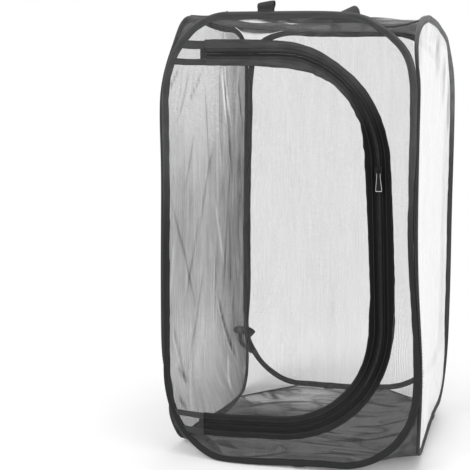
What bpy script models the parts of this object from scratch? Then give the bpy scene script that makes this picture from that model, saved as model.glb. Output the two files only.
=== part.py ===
"""Pop-up insect cage: four hooped gauze walls that fold flat, a gauze roof and floor, and a zipped door.

Metres, +Z up.  The origin is the middle of the floor, and the door is in the front wall, on the -Y side.
"""
import math

import bmesh
import bpy
from mathutils import Matrix, Vector

# Cage
cage_width = 0.350
cage_depth = 0.350
cage_height = 0.600
top_corner_across = 0.089
top_corner_rise = 0.119
bottom_corner_across = 0.091
bottom_corner_rise = 0.118
corner_steps = 8
clearance = 0.0003
gauze_thickness = 0.0006
tube_round_steps = 1
smooth_edge_angle = math.radians(35)

# Hoop: a spring wire in a folded tape, closed by a crimped sleeve
wire_radius = 0.0011
sleeve_bore_gap = 0.00015
sleeve_wall = 0.0004
sleeve_length = 0.016
sleeve_offset = 0.024
sleeve_sides = 10
wire_end_gap = 0.001
tape_wall = 0.0007
tape_width = 0.0095
tape_edge_round = 0.0008
gauze_grip = 0.0043

# Zip line of the door, on the front wall, measured in from the hoop's outer edge; it leans out at its foot
zip_right_margin = 0.0410
zip_left_margin = 0.0574
zip_top_margin = 0.0545
zip_bottom = 0.0525
zip_top_across = 0.133
zip_top_rise = 0.141
zip_bottom_across = 0.138
zip_bottom_rise = 0.150
zip_lean_share = 0.036
zip_corner_steps = 9

# Zip: two tapes, two coils and the tapes' bindings
coil_radius = 0.0011
chain_gap = 0.0015
zip_tape_thickness = 0.0008
zip_tape_reach = 0.0067
binding_wall = 0.0006
door_frame_binding_width = 0.0090
door_binding_width = 0.0066
binding_seam = 0.0022
gauze_edge_gap = 0.0004
hinge_setback = 0.00015
tape_start = 0.0020
coil_start = 0.0040
tail_strip_thickness = 0.0008
tail_strip_reach = 0.0008
tack_width = 0.0030
tack_offset = 0.0020
tack_thickness = 0.0010

# Slider and pull
slider_end_gap = 0.0010
slider_length = 0.0130
slider_top_width = 0.0104
slider_foot_width = 0.0088
slider_plate = 0.0012
slider_back_plate = 0.0008
slider_flange = 0.0009
bridge_width = 0.0009
bridge_length = 0.0042
crown_width = 0.0016
crown_length = 0.0060
crown_wall = 0.0008
pull_pin_radius = 0.00065
pull_pin_round_steps = 2
pull_window_width = 0.0026
pull_window_length = 0.0055
pull_neck_width = 0.0052
pull_end_width = 0.0084
pull_length = 0.0240
pull_thickness = 0.0010

# Hanging loops of webbing on the front and the back hoop
loop_width = 0.021
loop_foot_radius = 0.0016
loop_wall = 0.0013
loop_inner_foot_radius = 0.0004
loop_steps = 12
front_loop_place = -0.028
front_loop_height = 0.0165
front_loop_crown_radius = 0.0052
front_loop_lean = 0.001
back_loop_place = 0.006
back_loop_height = 0.036
back_loop_crown_radius = 0.0045
back_loop_lean = 0.005

# Closure strap on the back left edge
strap_height = 0.088
strap_width = 0.013
strap_reach = 0.026
strap_end_turn = math.radians(150)
strap_end_steps = 8
strap_thickness = 0.0014
strap_foot = 0.007
strap_hole_radius = 0.0016
strap_leg_drop = 0.034
strap_leg_width = 0.007
snap_radius = 0.0052
snap_place = 0.0165
snap_cap_rise = 0.0014
snap_crown_share = 0.72
snap_post_radius = 0.0012
snap_ring_radius = 0.0040
snap_ring_thickness = 0.0008
snap_sides = 20

# Worked out from the sizes above
weld_distance = clearance / 100
sleeve_radius = wire_radius + sleeve_bore_gap + sleeve_wall
tape_depth = 2 * (sleeve_radius + clearance + tape_wall)
cavity_end = tape_wall + 2 * (sleeve_radius + clearance)
wire_inset = tape_wall + clearance + sleeve_radius
hinge_x = cage_width / 2 - tape_depth - clearance / 2
hinge_y = cage_depth / 2 - tape_depth - clearance / 2
front_span = 2 * hinge_x - clearance
side_span = 2 * hinge_y - clearance
wall_x = hinge_x + clearance / 2 + tape_depth / 2
wall_y = hinge_y + clearance / 2 + tape_depth / 2
slot_half = gauze_thickness / 2 + clearance
zip_right = front_span / 2 - zip_right_margin
zip_left = zip_left_margin - front_span / 2
zip_top = cage_height - zip_top_margin
zip_lean_angle = math.atan(zip_lean_share)
binding_half = slot_half + binding_wall
coil_place = chain_gap / 2 + coil_radius
coil_lift = zip_tape_thickness / 2 + clearance + coil_radius
binding_start = zip_tape_reach + clearance
gauze_cut = binding_start + binding_seam + clearance
slider_front = coil_lift + coil_radius + clearance
slider_height = zip_top - zip_top_rise - slider_end_gap - slider_length / 2
crown_rise = crown_wall + 2 * (pull_pin_radius + clearance)
pull_depth = slider_front + slider_plate + clearance + pull_pin_radius
pull_drop = crown_length / 2 - crown_wall - clearance - pull_pin_radius
door_axis_y = -wall_y - gauze_thickness / 2 - hinge_setback
loop_axis_height = cage_height + clearance + loop_foot_radius
strap_lift = snap_ring_thickness + clearance
strap_face = wall_y + tape_depth / 2 + clearance + strap_lift + strap_thickness / 2

colours = {
    "gauze": ((0.030, 0.031, 0.033), 0.75, 0.0),
    "tape": ((0.045, 0.046, 0.049), 0.85, 0.0),
    "webbing": ((0.040, 0.041, 0.043), 0.8, 0.0),
    "zip": ((0.016, 0.016, 0.018), 0.6, 0.0),
    "steel": ((0.42, 0.43, 0.45), 0.32, 1.0),
    "dark_metal": ((0.05, 0.05, 0.055), 0.35, 1.0),
}


def clear_scene():
    for thing in list(bpy.data.objects):
        bpy.data.objects.remove(thing, do_unlink=True)


def new_collection(name):
    made = bpy.data.collections.new(name)
    bpy.context.scene.collection.children.link(made)
    return made


def finish(thing, kind, body):
    """Give a piece its own material and hang it on its body's empty, where it stays in place."""
    colour, roughness, metallic = colours[kind]
    made = bpy.data.materials.new(thing.name)
    made.use_nodes = True
    shader = made.node_tree.nodes["Principled BSDF"]
    shader.inputs["Base Color"].default_value = (*colour, 1)
    shader.inputs["Roughness"].default_value = roughness
    shader.inputs["Metallic"].default_value = metallic
    made.diffuse_color = (*colour, 1)
    thing.data.materials.clear()
    thing.data.materials.append(made)
    if body is not None:
        thing.parent = body
        thing.matrix_parent_inverse = body.matrix_world.inverted()
    return thing


def joint_empty(name, place, parent=None):
    made = bpy.data.objects.new(name, None)
    made.location = place
    cage.objects.link(made)
    bpy.context.view_layer.update()
    if parent is not None:
        made.parent = parent
        made.matrix_parent_inverse = parent.matrix_world.inverted()
    bpy.context.view_layer.update()
    return made


def mesh_object(name, mesh, collection):
    made = bpy.data.objects.new(name, mesh)
    collection.objects.link(made)
    return made


def tidy_mesh(mesh):
    """Weld a mesh's caps to its sides and turn every face outwards."""
    work = bmesh.new()
    work.from_mesh(mesh)
    bmesh.ops.remove_doubles(work, verts=work.verts, dist=weld_distance)
    bmesh.ops.dissolve_degenerate(work, edges=work.edges, dist=weld_distance)
    bmesh.ops.recalc_face_normals(work, faces=work.faces)
    if work.calc_volume(signed=True) < 0:
        bmesh.ops.reverse_faces(work, faces=work.faces)
    work.to_mesh(mesh)
    work.free()
    mesh.shade_smooth()
    mesh.set_sharp_from_angle(angle=smooth_edge_angle)
    return mesh


def to_mesh(curve_object):
    """The evaluated mesh of a curve object, which is removed."""
    bpy.context.view_layer.update()
    evaluated = curve_object.evaluated_get(bpy.context.evaluated_depsgraph_get())
    mesh = bpy.data.meshes.new_from_object(evaluated)
    bpy.data.objects.remove(curve_object, do_unlink=True)
    return tidy_mesh(mesh)


def curve_object(name, outlines, closed, flat=True):
    data = bpy.data.curves.new(name, "CURVE")
    data.dimensions = "2D" if flat else "3D"
    for outline in outlines:
        spline = data.splines.new("POLY")
        spline.points.add(len(outline) - 1)
        for point, place in zip(spline.points, outline):
            point.co = (*place, 0, 1) if flat else (*place, 1)
        spline.use_cyclic_u = closed
    made = bpy.data.objects.new(name, data)
    cage.objects.link(made)
    return made


def flat_shape(outlines, thickness):
    """A sheet of even thickness with these outlines, the later ones being holes."""
    made = curve_object("outline", outlines, True)
    made.data.fill_mode = "BOTH"
    made.data.extrude = thickness / 2
    return to_mesh(made)


def swept_shape(path, section, closed):
    """A section swept along a flat path."""
    profile = curve_object("section", [section], True)
    made = curve_object("path", [path], closed)
    made.data.bevel_mode = "OBJECT"
    made.data.bevel_object = profile
    made.data.use_fill_caps = not closed
    mesh = to_mesh(made)
    bpy.data.objects.remove(profile, do_unlink=True)
    return mesh


def tube_shape(path, radius, resolution):
    made = curve_object("tube", [path], False, flat=len(path[0]) == 2)
    made.data.fill_mode = "FULL" if len(path[0]) == 3 else "BOTH"
    made.data.bevel_depth = radius
    made.data.bevel_resolution = resolution
    made.data.use_fill_caps = True
    return to_mesh(made)


def ring_shape(profile, sides):
    """A turned shape about Z, from radii and heights: a profile that starts on Z also ends there."""
    work = bmesh.new()
    made = [work.verts.new((radius, 0, height)) for radius, height in profile]
    closing = [] if profile[0][0] == 0 else [(made[-1], made[0])]
    for pair in [*zip(made, made[1:]), *closing]:
        work.edges.new(pair)
    mesh = bpy.data.meshes.new("turned")
    work.to_mesh(mesh)
    work.free()
    thing = mesh_object("turned", mesh, cage)
    screw = thing.modifiers.new("screw", "SCREW")
    screw.steps = sides
    screw.render_steps = sides
    screw.use_merge_vertices = True
    screw.merge_threshold = weld_distance
    return to_mesh(thing)


def box_shape(size):
    work = bmesh.new()
    bmesh.ops.create_cube(work, size=1)
    bmesh.ops.scale(work, vec=Vector(size), verts=work.verts)
    mesh = bpy.data.meshes.new("box")
    work.to_mesh(mesh)
    work.free()
    return mesh


def cut(thing, mesh, place, operation="DIFFERENCE"):
    """Cut a mesh out of a piece, or join it to the piece, and keep the result as the piece's mesh."""
    cutter = mesh_object(f"{thing.name}_{operation.lower()}", mesh, cutters)
    cutter.matrix_world = place
    cutter.hide_render = True
    cutter.display_type = "WIRE"
    change = thing.modifiers.new("cut", "BOOLEAN")
    change.operation = operation
    change.solver = "EXACT"
    change.object = cutter
    bpy.context.view_layer.update()
    evaluated = thing.evaluated_get(bpy.context.evaluated_depsgraph_get())
    result = bpy.data.meshes.new_from_object(evaluated)
    thing.modifiers.clear()
    thing.data = tidy_mesh(result)


def stand_up(mesh):
    """Turn a shape drawn across and up in X and Y so that it stands in a wall, its thickness along Y."""
    mesh.transform(Matrix.Rotation(math.pi / 2, 4, "X"))
    return mesh


def quarter(centre, reach, start, inset, steps):
    """Points of a quarter of an oval, moved inwards by the inset along its normal."""
    points = []
    for step in range(steps + 1):
        angle = math.radians(start + 90 * step / steps)
        across = math.cos(angle)
        up = math.sin(angle)
        normal = Vector((across / reach[0], up / reach[1])).normalized()
        points.append((centre[0] + reach[0] * across - inset * normal.x,
                       centre[1] + reach[1] * up - inset * normal.y))
    return points


def hoop_outline(span, inset):
    """A hoop's outline, anticlockwise from the foot of its right lower corner."""
    top = (top_corner_across, top_corner_rise)
    foot = (bottom_corner_across, bottom_corner_rise)
    half = span / 2
    return [
        *quarter((half - foot[0], foot[1]), foot, -90, inset, corner_steps),
        *quarter((half - top[0], cage_height - top[1]), top, 0, inset, corner_steps),
        *quarter((top[0] - half, cage_height - top[1]), top, 90, inset, corner_steps),
        *quarter((foot[0] - half, foot[1]), foot, 180, inset, corner_steps),
    ]


def hoop_half_width(height, inset):
    """Half of the front hoop's width at a height, inside the inset."""
    half = front_span / 2
    if height > cage_height - top_corner_rise:
        reach = (top_corner_across, top_corner_rise)
        rise = height - (cage_height - top_corner_rise)
    elif height < bottom_corner_rise:
        reach = (bottom_corner_across, bottom_corner_rise)
        rise = bottom_corner_rise - height
    else:
        return half - inset
    share = rise / (reach[1] - inset)
    return half - reach[0] + (reach[0] - inset) * math.sqrt(1 - share * share)


def leaning(across, up):
    """A point of the zip moved across as the zip leans, which grows from nothing at the door's hinge."""
    share = (across - zip_left) / (zip_right - zip_left)
    return across + zip_lean_share * share * (cage_height / 2 - up), up


def zip_line(offset, start):
    """The zip's line moved outwards by the offset, from its lower left end to its upper left end."""
    foot = (zip_bottom_across, zip_bottom_rise)
    top = (zip_top_across, zip_top_rise)
    upright = [
        (zip_left + start, zip_bottom - offset),
        *quarter((zip_right - foot[0], zip_bottom + foot[1]), foot, -90, -offset, zip_corner_steps),
        *quarter((zip_right - top[0], zip_top - top[1]), top, 0, -offset, zip_corner_steps),
        (zip_left + start, zip_top + offset),
    ]
    return [leaning(across, up) for across, up in upright]


def slider_place():
    """Where the slider stands on the zip, leaning as the zip does."""
    across, up = leaning(zip_right, slider_height)
    return Matrix.Translation((across, -wall_y, up)) @ Matrix.Rotation(-zip_lean_angle, 4, "Y")


def pull_place():
    """Where the pull's pin lies in the slider's crown."""
    return slider_place() @ Matrix.Translation((0, -pull_depth, -pull_drop))


def binding_section():
    """The hoop's folded tape: outer faces, then the slot for the gauze and the space for the wire."""
    half = tape_depth / 2
    space = sleeve_radius + clearance
    side = [
        (0, half - tape_edge_round),
        (tape_edge_round, half),
        (tape_width, half),
        (tape_width, slot_half),
        (cavity_end, slot_half),
        (cavity_end, space),
        (tape_wall, space),
    ]
    return side + [(inset, -depth) for inset, depth in reversed(side)]


def walls():
    """Each wall's name, width, turn and place of its middle, and the empty that it hangs on."""
    return [
        ("front", front_span, 0, (0, -wall_y), None),
        ("right", side_span, 90, (wall_x, 0), right_body),
        ("left", side_span, -90, (-wall_x, 0), left_body),
        ("back", front_span, 180, (0, wall_y), back_body),
    ]


def place_in_wall(turn, middle):
    return Matrix.Translation((*middle, 0)) @ Matrix.Rotation(math.radians(turn), 4, "Z")


def add_in_wall(name, mesh, kind, turn, middle, body):
    mesh.transform(place_in_wall(turn, middle))
    return finish(mesh_object(name, mesh, cage), kind, body)


def make_hoop(side, span, turn, middle, body):
    binding = swept_shape(hoop_outline(span, 0), binding_section(), True)
    add_in_wall(f"{side}_hoop_binding", stand_up(binding), "tape", turn, middle, body)
    ring = hoop_outline(span, wire_inset)
    gap = wire_end_gap / 2
    path = [(sleeve_offset + gap, wire_inset), *ring, (sleeve_offset - gap, wire_inset)]
    wire = tube_shape([(across, 0, up) for across, up in path], wire_radius, tube_round_steps)
    add_in_wall(f"{side}_spring_wire", wire, "steel", turn, middle, body)
    bore = wire_radius + sleeve_bore_gap
    half = sleeve_length / 2
    profile = [(bore, half), (bore, -half), (sleeve_radius, -half), (sleeve_radius, half)]
    sleeve = ring_shape(profile, sleeve_sides)
    lay = Matrix.Rotation(math.pi / 2, 4, "Y")
    sleeve.transform(Matrix.Translation((sleeve_offset, 0, wire_inset)) @ lay)
    add_in_wall(f"{side}_wire_sleeve", sleeve, "steel", turn, middle, body)


def make_wall_gauze(side, span, turn, middle, body):
    outlines = [hoop_outline(span, tape_width - gauze_grip)]
    if side == "front":
        outlines.append(zip_line(gauze_cut, -gauze_edge_gap))
    gauze = stand_up(flat_shape(outlines, gauze_thickness))
    add_in_wall(f"{side}_gauze", gauze, "gauze", turn, middle, body)


def make_level_gauze(name, height):
    """The roof or the floor between the four straight runs, with its corners cut off."""
    across = top_corner_across if height > 0 else bottom_corner_across
    edge_x = hinge_x - clearance / 2
    edge_y = hinge_y - clearance / 2
    run_x = front_span / 2 - across
    run_y = side_span / 2 - across
    outline = [
        (run_x, -edge_y), (edge_x, -run_y), (edge_x, run_y), (run_x, edge_y),
        (-run_x, edge_y), (-edge_x, run_y), (-edge_x, -run_y), (-run_x, -edge_y),
    ]
    gauze = flat_shape([outline], gauze_thickness)
    middle = height - gauze_thickness / 2 if height > 0 else gauze_thickness / 2
    gauze.transform(Matrix.Translation((0, 0, middle)))
    finish(mesh_object(name, gauze, cage), "gauze", None)


def make_gusset(name, side_x, side_y, top):
    """A corner of the roof or floor: straight threads from one hoop's corner to the next hoop's."""
    across = top_corner_across if top else bottom_corner_across
    rise = top_corner_rise if top else bottom_corner_rise
    edge_x = hinge_x - clearance / 2
    edge_y = hinge_y - clearance / 2
    run_x = front_span / 2 - across
    run_y = side_span / 2 - across
    seam = math.acos(2 * clearance / across)
    tip = math.acos(1 - tape_depth / across)
    work = bmesh.new()
    rows = []
    for step in range(corner_steps + 1):
        angle = tip + (seam - tip) * step / corner_steps
        out = across * math.cos(angle)
        drop = rise * (1 - math.sin(angle))
        height = cage_height - drop if top else drop
        rows.append((
            work.verts.new((side_x * (run_x + out), side_y * edge_y, height)),
            work.verts.new((side_x * edge_x, side_y * (run_y + out), height)),
        ))
    for low, high in zip(rows, rows[1:]):
        work.faces.new((low[0], low[1], high[1], high[0]))
    work.normal_update()
    face = work.faces[:][0]
    outward = Vector((side_x, side_y, 0))
    if face.normal.dot(outward) < 0:
        bmesh.ops.reverse_faces(work, faces=work.faces)
    mesh = bpy.data.meshes.new(name)
    work.to_mesh(mesh)
    work.free()
    thing = mesh_object(name, mesh, cage)
    shell = thing.modifiers.new("cloth", "SOLIDIFY")
    shell.thickness = gauze_thickness
    shell.offset = -1
    finish(thing, "gauze", None)


def band(inner, outer, start):
    """Outline of a strip along the zip's line, between two distances from it."""
    return zip_line(inner, start) + list(reversed(zip_line(outer, start)))


def channel_section(width, side):
    """A folded tape, open where the gauze enters it; side is 1 away from the door and -1 towards it."""
    shape = [
        (0, binding_half),
        (width, binding_half),
        (width, slot_half),
        (binding_seam, slot_half),
        (binding_seam, -slot_half),
        (width, -slot_half),
        (width, -binding_half),
        (0, -binding_half),
    ]
    return [(side * reach, depth) for reach, depth in shape]


def make_zip_side(side, sign, width, start, body):
    """One half of the zip: the tape, its coil and the binding between tape and gauze."""
    inner = chain_gap / 2
    tape = flat_shape([band(sign * inner, sign * zip_tape_reach, start)], zip_tape_thickness)
    add_in_wall(f"{side}_zip_tape", stand_up(tape), "zip", 0, (0, -wall_y), body)
    route = zip_line(sign * coil_place, max(start, coil_start))
    coil = tube_shape([(across, -coil_lift, up) for across, up in route], coil_radius, tube_round_steps)
    add_in_wall(f"{side}_zip_coil", coil, "zip", 0, (0, -wall_y), body)
    path = zip_line(sign * binding_start, start)
    binding = swept_shape(path, channel_section(width, sign), False)
    add_in_wall(f"{side}_edge_binding", stand_up(binding), "tape", 0, (0, -wall_y), body)


def make_door_gauze():
    outline = zip_line(-gauze_cut, gauze_edge_gap)
    gauze = stand_up(flat_shape([outline], gauze_thickness))
    add_in_wall("door_gauze", gauze, "gauze", 0, (0, -wall_y), door_body)


def make_tail(name, low, high):
    """The end of a binding, sewn flat on the gauze from the door's edge to the hoop."""
    right = zip_left - tail_strip_reach
    inset = tape_width + clearance
    left_low = -hoop_half_width(low, inset) + clearance
    left_high = -hoop_half_width(high, inset) + clearance
    outline = [(left_low, low), (right, low), (right, high), (left_high, high)]
    strip = flat_shape([outline], tail_strip_thickness)
    lift = gauze_thickness / 2 + clearance + tail_strip_thickness / 2
    stand_up(strip).transform(Matrix.Translation((0, -lift, 0)))
    add_in_wall(name, strip, "tape", 0, (0, -wall_y), None)


def make_tails():
    near = binding_start
    make_tail("upper_tail_outer", zip_top + near, zip_top + near + door_frame_binding_width)
    make_tail("upper_tail_inner", zip_top - near - door_binding_width, zip_top - near)
    make_tail("lower_tail_outer", zip_bottom - near - door_frame_binding_width, zip_bottom - near)
    make_tail("lower_tail_inner", zip_bottom + near, zip_bottom + near + door_binding_width)


def make_tack(name, height):
    """The bar of stitching that closes an end of the zip, on the gauze beside the door."""
    tack = box_shape((tack_width, tack_thickness, 2 * zip_tape_reach - 2 * clearance))
    lift = gauze_thickness / 2 + clearance + tack_thickness / 2
    across = zip_left - tack_offset - tack_width / 2
    tack.transform(Matrix.Translation((across, -lift, height)))
    add_in_wall(name, tack, "zip", 0, (0, -wall_y), None)


def slider_plate_shape():
    """The slider's front plate, wider at its head, with its corners cut."""
    half = slider_length / 2
    head = slider_top_width / 2
    foot = slider_foot_width / 2
    trim = slider_plate
    outline = [
        (trim - foot, -half), (foot - trim, -half), (foot, trim - half), (head, half - trim),
        (head - trim, half), (trim - head, half), (-head, half - trim), (-foot, trim - half),
    ]
    return flat_shape([outline], slider_plate)


def make_slider():
    front_y = -slider_front
    back_y = zip_tape_thickness / 2 + clearance
    half = slider_length / 2
    front = stand_up(slider_plate_shape())
    front.transform(Matrix.Translation((0, front_y - slider_plate / 2, 0)))
    thing = mesh_object("zip_slider", tidy_mesh(front), cage)
    over = slider_plate / 2
    back_width = slider_foot_width / 2 + bridge_width / 2
    back = box_shape((back_width, slider_back_plate, slider_length - 2 * slider_plate))
    back_place = Matrix.Translation((bridge_width / 2 - back_width / 2, back_y + slider_back_plate / 2, 0))
    bridge_depth = back_y - front_y + over + slider_back_plate / 2
    bridge = box_shape((bridge_width, bridge_depth, bridge_length))
    bridge_y = front_y - over + bridge_depth / 2
    bridge_place = Matrix.Translation((0, bridge_y, half - slider_plate - bridge_length / 2))
    cut(thing, bridge, bridge_place, "UNION")
    cut(thing, back, back_place, "UNION")
    flange_x = coil_place + coil_radius + clearance + slider_flange / 2
    flange_end = -zip_tape_thickness / 2 - clearance
    for sign in (-1, 1):
        depth = flange_end - front_y + over
        flange = box_shape((slider_flange, depth, slider_length - 2 * slider_plate))
        place = Matrix.Translation((sign * flange_x, front_y - over + depth / 2, 0))
        cut(thing, flange, place, "UNION")
    face_y = front_y - slider_plate
    crown = box_shape((crown_width, crown_rise + over, crown_length))
    crown_place = Matrix.Translation((0, face_y + over / 2 - crown_rise / 2, 0))
    cut(thing, crown, crown_place, "UNION")
    tunnel_rise = crown_rise - crown_wall
    tunnel = box_shape((2 * crown_width, tunnel_rise, crown_length - 2 * crown_wall))
    cut(thing, tunnel, Matrix.Translation((0, face_y - tunnel_rise / 2, 0)))
    thing.data.transform(slider_place())
    finish(thing, "dark_metal", slider_body)


def make_pull():
    window = pull_window_width / 2
    neck = pull_neck_width / 2
    end = pull_end_width / 2
    shoulder = pull_window_length + crown_wall
    tip = pull_length
    corner = pull_thickness
    outline = [
        (neck, 0), (neck, -shoulder), (end, -tip + corner), (end - corner, -tip),
        (corner - end, -tip), (-end, -tip + corner), (-neck, -shoulder), (-neck, 0),
    ]
    hole = [(window, 0), (window, -pull_window_length), (-window, -pull_window_length), (-window, 0)]
    plate = flat_shape([outline + list(reversed(hole))], pull_thickness)
    thing = mesh_object("zip_pull", stand_up(plate), cage)
    pin_end = (neck + window) / 2
    pin = tube_shape([(-pin_end, 0, 0), (pin_end, 0, 0)], pull_pin_radius, pull_pin_round_steps)
    cut(thing, pin, Matrix.Identity(4), "UNION")
    thing.data.transform(pull_place())
    finish(thing, "dark_metal", pull_body)


def teardrop(foot_radius, foot_height, crown_radius, crown_height):
    """Outline of two circles, one above the other, and the lines that touch both."""
    lean = math.asin((crown_radius - foot_radius) / (crown_height - foot_height))
    points = []
    for step in range(loop_steps + 1):
        angle = -lean + (math.pi + 2 * lean) * step / loop_steps
        points.append((crown_radius * math.cos(angle), crown_height + crown_radius * math.sin(angle)))
    for step in range(loop_steps // 2 + 1):
        angle = math.pi + lean + (math.pi - 2 * lean) * step / (loop_steps // 2)
        points.append((foot_radius * math.cos(angle), foot_height + foot_radius * math.sin(angle)))
    return points


def make_loop(name, across, depth, height, crown_radius, lean, body):
    """A standing loop of webbing, open from side to side, on top of a hoop."""
    crown_height = height - crown_radius - loop_foot_radius
    outer = teardrop(loop_foot_radius, 0, crown_radius, crown_height)
    inner = teardrop(loop_inner_foot_radius, 2 * loop_wall, crown_radius - loop_wall, crown_height)
    ring = flat_shape([outer, inner], loop_width)
    ring.transform(Matrix.Rotation(math.pi / 2, 4, "Z") @ Matrix.Rotation(math.pi / 2, 4, "X"))
    shear = Matrix.Identity(4)
    shear[0][2] = lean / height
    place = Matrix.Translation((across, depth, loop_axis_height))
    ring.transform(place @ shear)
    finish(mesh_object(name, tidy_mesh(ring), cage), "webbing", body)


def strap_outline():
    """The strap, from its foot on the hoop to its round end, and its leg that runs back down to the hoop."""
    half = strap_width / 2
    points = [(strap_foot, -half), (strap_foot, half)]
    for step in range(strap_end_steps + 1):
        angle = math.pi / 2 + strap_end_turn * step / strap_end_steps
        points.append((-strap_reach + half + half * math.cos(angle), half * math.sin(angle)))
    return points + [
        (-strap_leg_width / 2, -strap_leg_drop), (strap_foot, -strap_leg_drop),
        (strap_foot, strap_leg_width - strap_leg_drop), (0, strap_leg_width - strap_leg_drop),
        (-strap_width, -half),
    ]


def make_strap():
    """The closure strap with its press stud, its sewn ends turned under, and its stay back to the edge."""
    strap = stand_up(flat_shape([strap_outline()], strap_thickness))
    thing = mesh_object("closure_strap", strap, cage)
    hole = ring_shape([(0, -strap_thickness), (strap_hole_radius, -strap_thickness),
                       (strap_hole_radius, strap_thickness), (0, strap_thickness)], snap_sides)
    lay = Matrix.Rotation(math.pi / 2, 4, "X")
    cut(thing, hole, Matrix.Translation((-snap_place, 0, 0)) @ lay)
    fold_depth = strap_lift + strap_thickness / 2
    stay_middle = strap_leg_width / 2 - strap_leg_drop
    for length, middle in ((strap_width, 0), (strap_leg_width, stay_middle)):
        fold = box_shape((strap_foot - 2 * clearance, fold_depth, length - 2 * clearance))
        cut(thing, fold, Matrix.Translation((strap_foot / 2, -fold_depth / 2, middle)), "UNION")
    place = Matrix.Translation((-front_span / 2, strap_face, strap_height))
    thing.data.transform(place)
    finish(thing, "webbing", strap_body)

    face_gap = strap_thickness / 2 + clearance
    back = face_gap + snap_ring_thickness
    cap_top = face_gap + snap_cap_rise
    post = snap_post_radius
    bore = post + clearance / 2
    cap = ring_shape([(0, -back), (post, -back), (post, face_gap), (snap_radius, face_gap),
                      (snap_crown_share * snap_radius, cap_top), (0, cap_top)], snap_sides)
    ring = ring_shape([(bore, -face_gap), (bore, -back), (snap_ring_radius, -back),
                       (snap_ring_radius, -face_gap)], snap_sides)
    turn = Matrix.Rotation(-math.pi / 2, 4, "X")
    for name, mesh in (("snap_cap", cap), ("snap_ring", ring)):
        mesh.transform(place @ Matrix.Translation((-snap_place, 0, 0)) @ turn)
        finish(mesh_object(name, mesh, cage), "steel", strap_body)


clear_scene()
cage = new_collection("insect_cage")
cutters = new_collection("cutters")
right_body = joint_empty("right_wall_hinge", (hinge_x, -hinge_y, 0))
left_body = joint_empty("left_wall_hinge", (-hinge_x, -hinge_y, 0))
back_body = joint_empty("back_wall_hinge", (hinge_x, hinge_y, 0), right_body)
door_body = joint_empty("door_hinge", (zip_left, door_axis_y, (zip_top + zip_bottom) / 2))
slider_body = joint_empty("slider_run", slider_place().translation, door_body)
pull_body = joint_empty("pull_hinge", pull_place().translation, slider_body)
front_loop_body = joint_empty("front_loop_hinge", (front_loop_place, -wall_y, loop_axis_height))
back_loop_body = joint_empty("back_loop_hinge", (back_loop_place, wall_y, loop_axis_height), back_body)
strap_body = joint_empty("strap_hinge", (strap_foot - front_span / 2, strap_face, strap_height), back_body)

for side, span, turn, middle, body in walls():
    make_hoop(side, span, turn, middle, body)
    make_wall_gauze(side, span, turn, middle, body)
make_level_gauze("roof_gauze", cage_height)
make_level_gauze("floor_gauze", 0)
for level, top in (("roof", True), ("floor", False)):
    for depth_name, side_y in (("front", -1), ("back", 1)):
        for side_name, side_x in (("left", -1), ("right", 1)):
            make_gusset(f"{level}_gusset_{depth_name}_{side_name}", side_x, side_y, top)
make_zip_side("frame", 1, door_frame_binding_width, gauze_edge_gap, None)
make_zip_side("door", -1, door_binding_width, tape_start, door_body)
make_door_gauze()
make_tails()
make_tack("upper_zip_tack", zip_top)
make_tack("lower_zip_tack", zip_bottom)
make_slider()
make_pull()
make_loop("front_hanging_loop", front_loop_place, -wall_y, front_loop_height,
          front_loop_crown_radius, front_loop_lean, front_loop_body)
make_loop("back_hanging_loop", back_loop_place, wall_y, back_loop_height,
          back_loop_crown_radius, back_loop_lean, back_loop_body)
make_strap()
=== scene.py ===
import math

import bpy
import numpy as np
from mathutils import Matrix, Vector


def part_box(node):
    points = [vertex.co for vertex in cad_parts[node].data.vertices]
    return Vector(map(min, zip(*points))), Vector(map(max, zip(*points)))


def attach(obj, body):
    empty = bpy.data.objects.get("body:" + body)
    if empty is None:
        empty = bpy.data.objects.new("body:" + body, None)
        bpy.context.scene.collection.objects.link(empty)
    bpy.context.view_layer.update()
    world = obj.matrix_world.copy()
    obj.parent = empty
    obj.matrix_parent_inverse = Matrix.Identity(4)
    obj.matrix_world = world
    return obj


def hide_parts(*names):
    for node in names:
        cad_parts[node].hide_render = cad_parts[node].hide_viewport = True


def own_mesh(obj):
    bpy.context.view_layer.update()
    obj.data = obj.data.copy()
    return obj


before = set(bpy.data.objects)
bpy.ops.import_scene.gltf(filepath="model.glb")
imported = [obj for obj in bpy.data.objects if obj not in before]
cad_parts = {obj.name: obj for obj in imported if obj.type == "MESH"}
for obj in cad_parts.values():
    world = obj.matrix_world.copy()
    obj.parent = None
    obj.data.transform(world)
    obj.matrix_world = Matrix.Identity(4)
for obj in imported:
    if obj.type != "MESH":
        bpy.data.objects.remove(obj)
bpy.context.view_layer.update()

# Camera, fitted to a photograph of 470 by 470
image_size = 470
camera_place = (0.3572, -1.3337, 0.4852)
camera_turns = (14.722, -4.52, 0.764)
focal_pixels = 935.9
picture_centre = (323.3, 175.1)
sensor_width = 36

# Light and floor, and each lamp's place, size and strength
world_light = 0.62
floor_half = 4.0
floor_height = -0.0015
floor_glow = 0.14
floor_fades = (0.30, 0.75)
lamps = {
    "key_lamp": ((-1.3, -2.2, 2.2), 1.8, 42),
    "fill_lamp": ((2.4, -1.4, 1.2), 2.0, 22),
    "back_lamp": ((0.4, 2.4, 1.8), 2.0, 22),
    "top_lamp": ((0.0, -0.1, 2.6), 1.6, 16),
}

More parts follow.
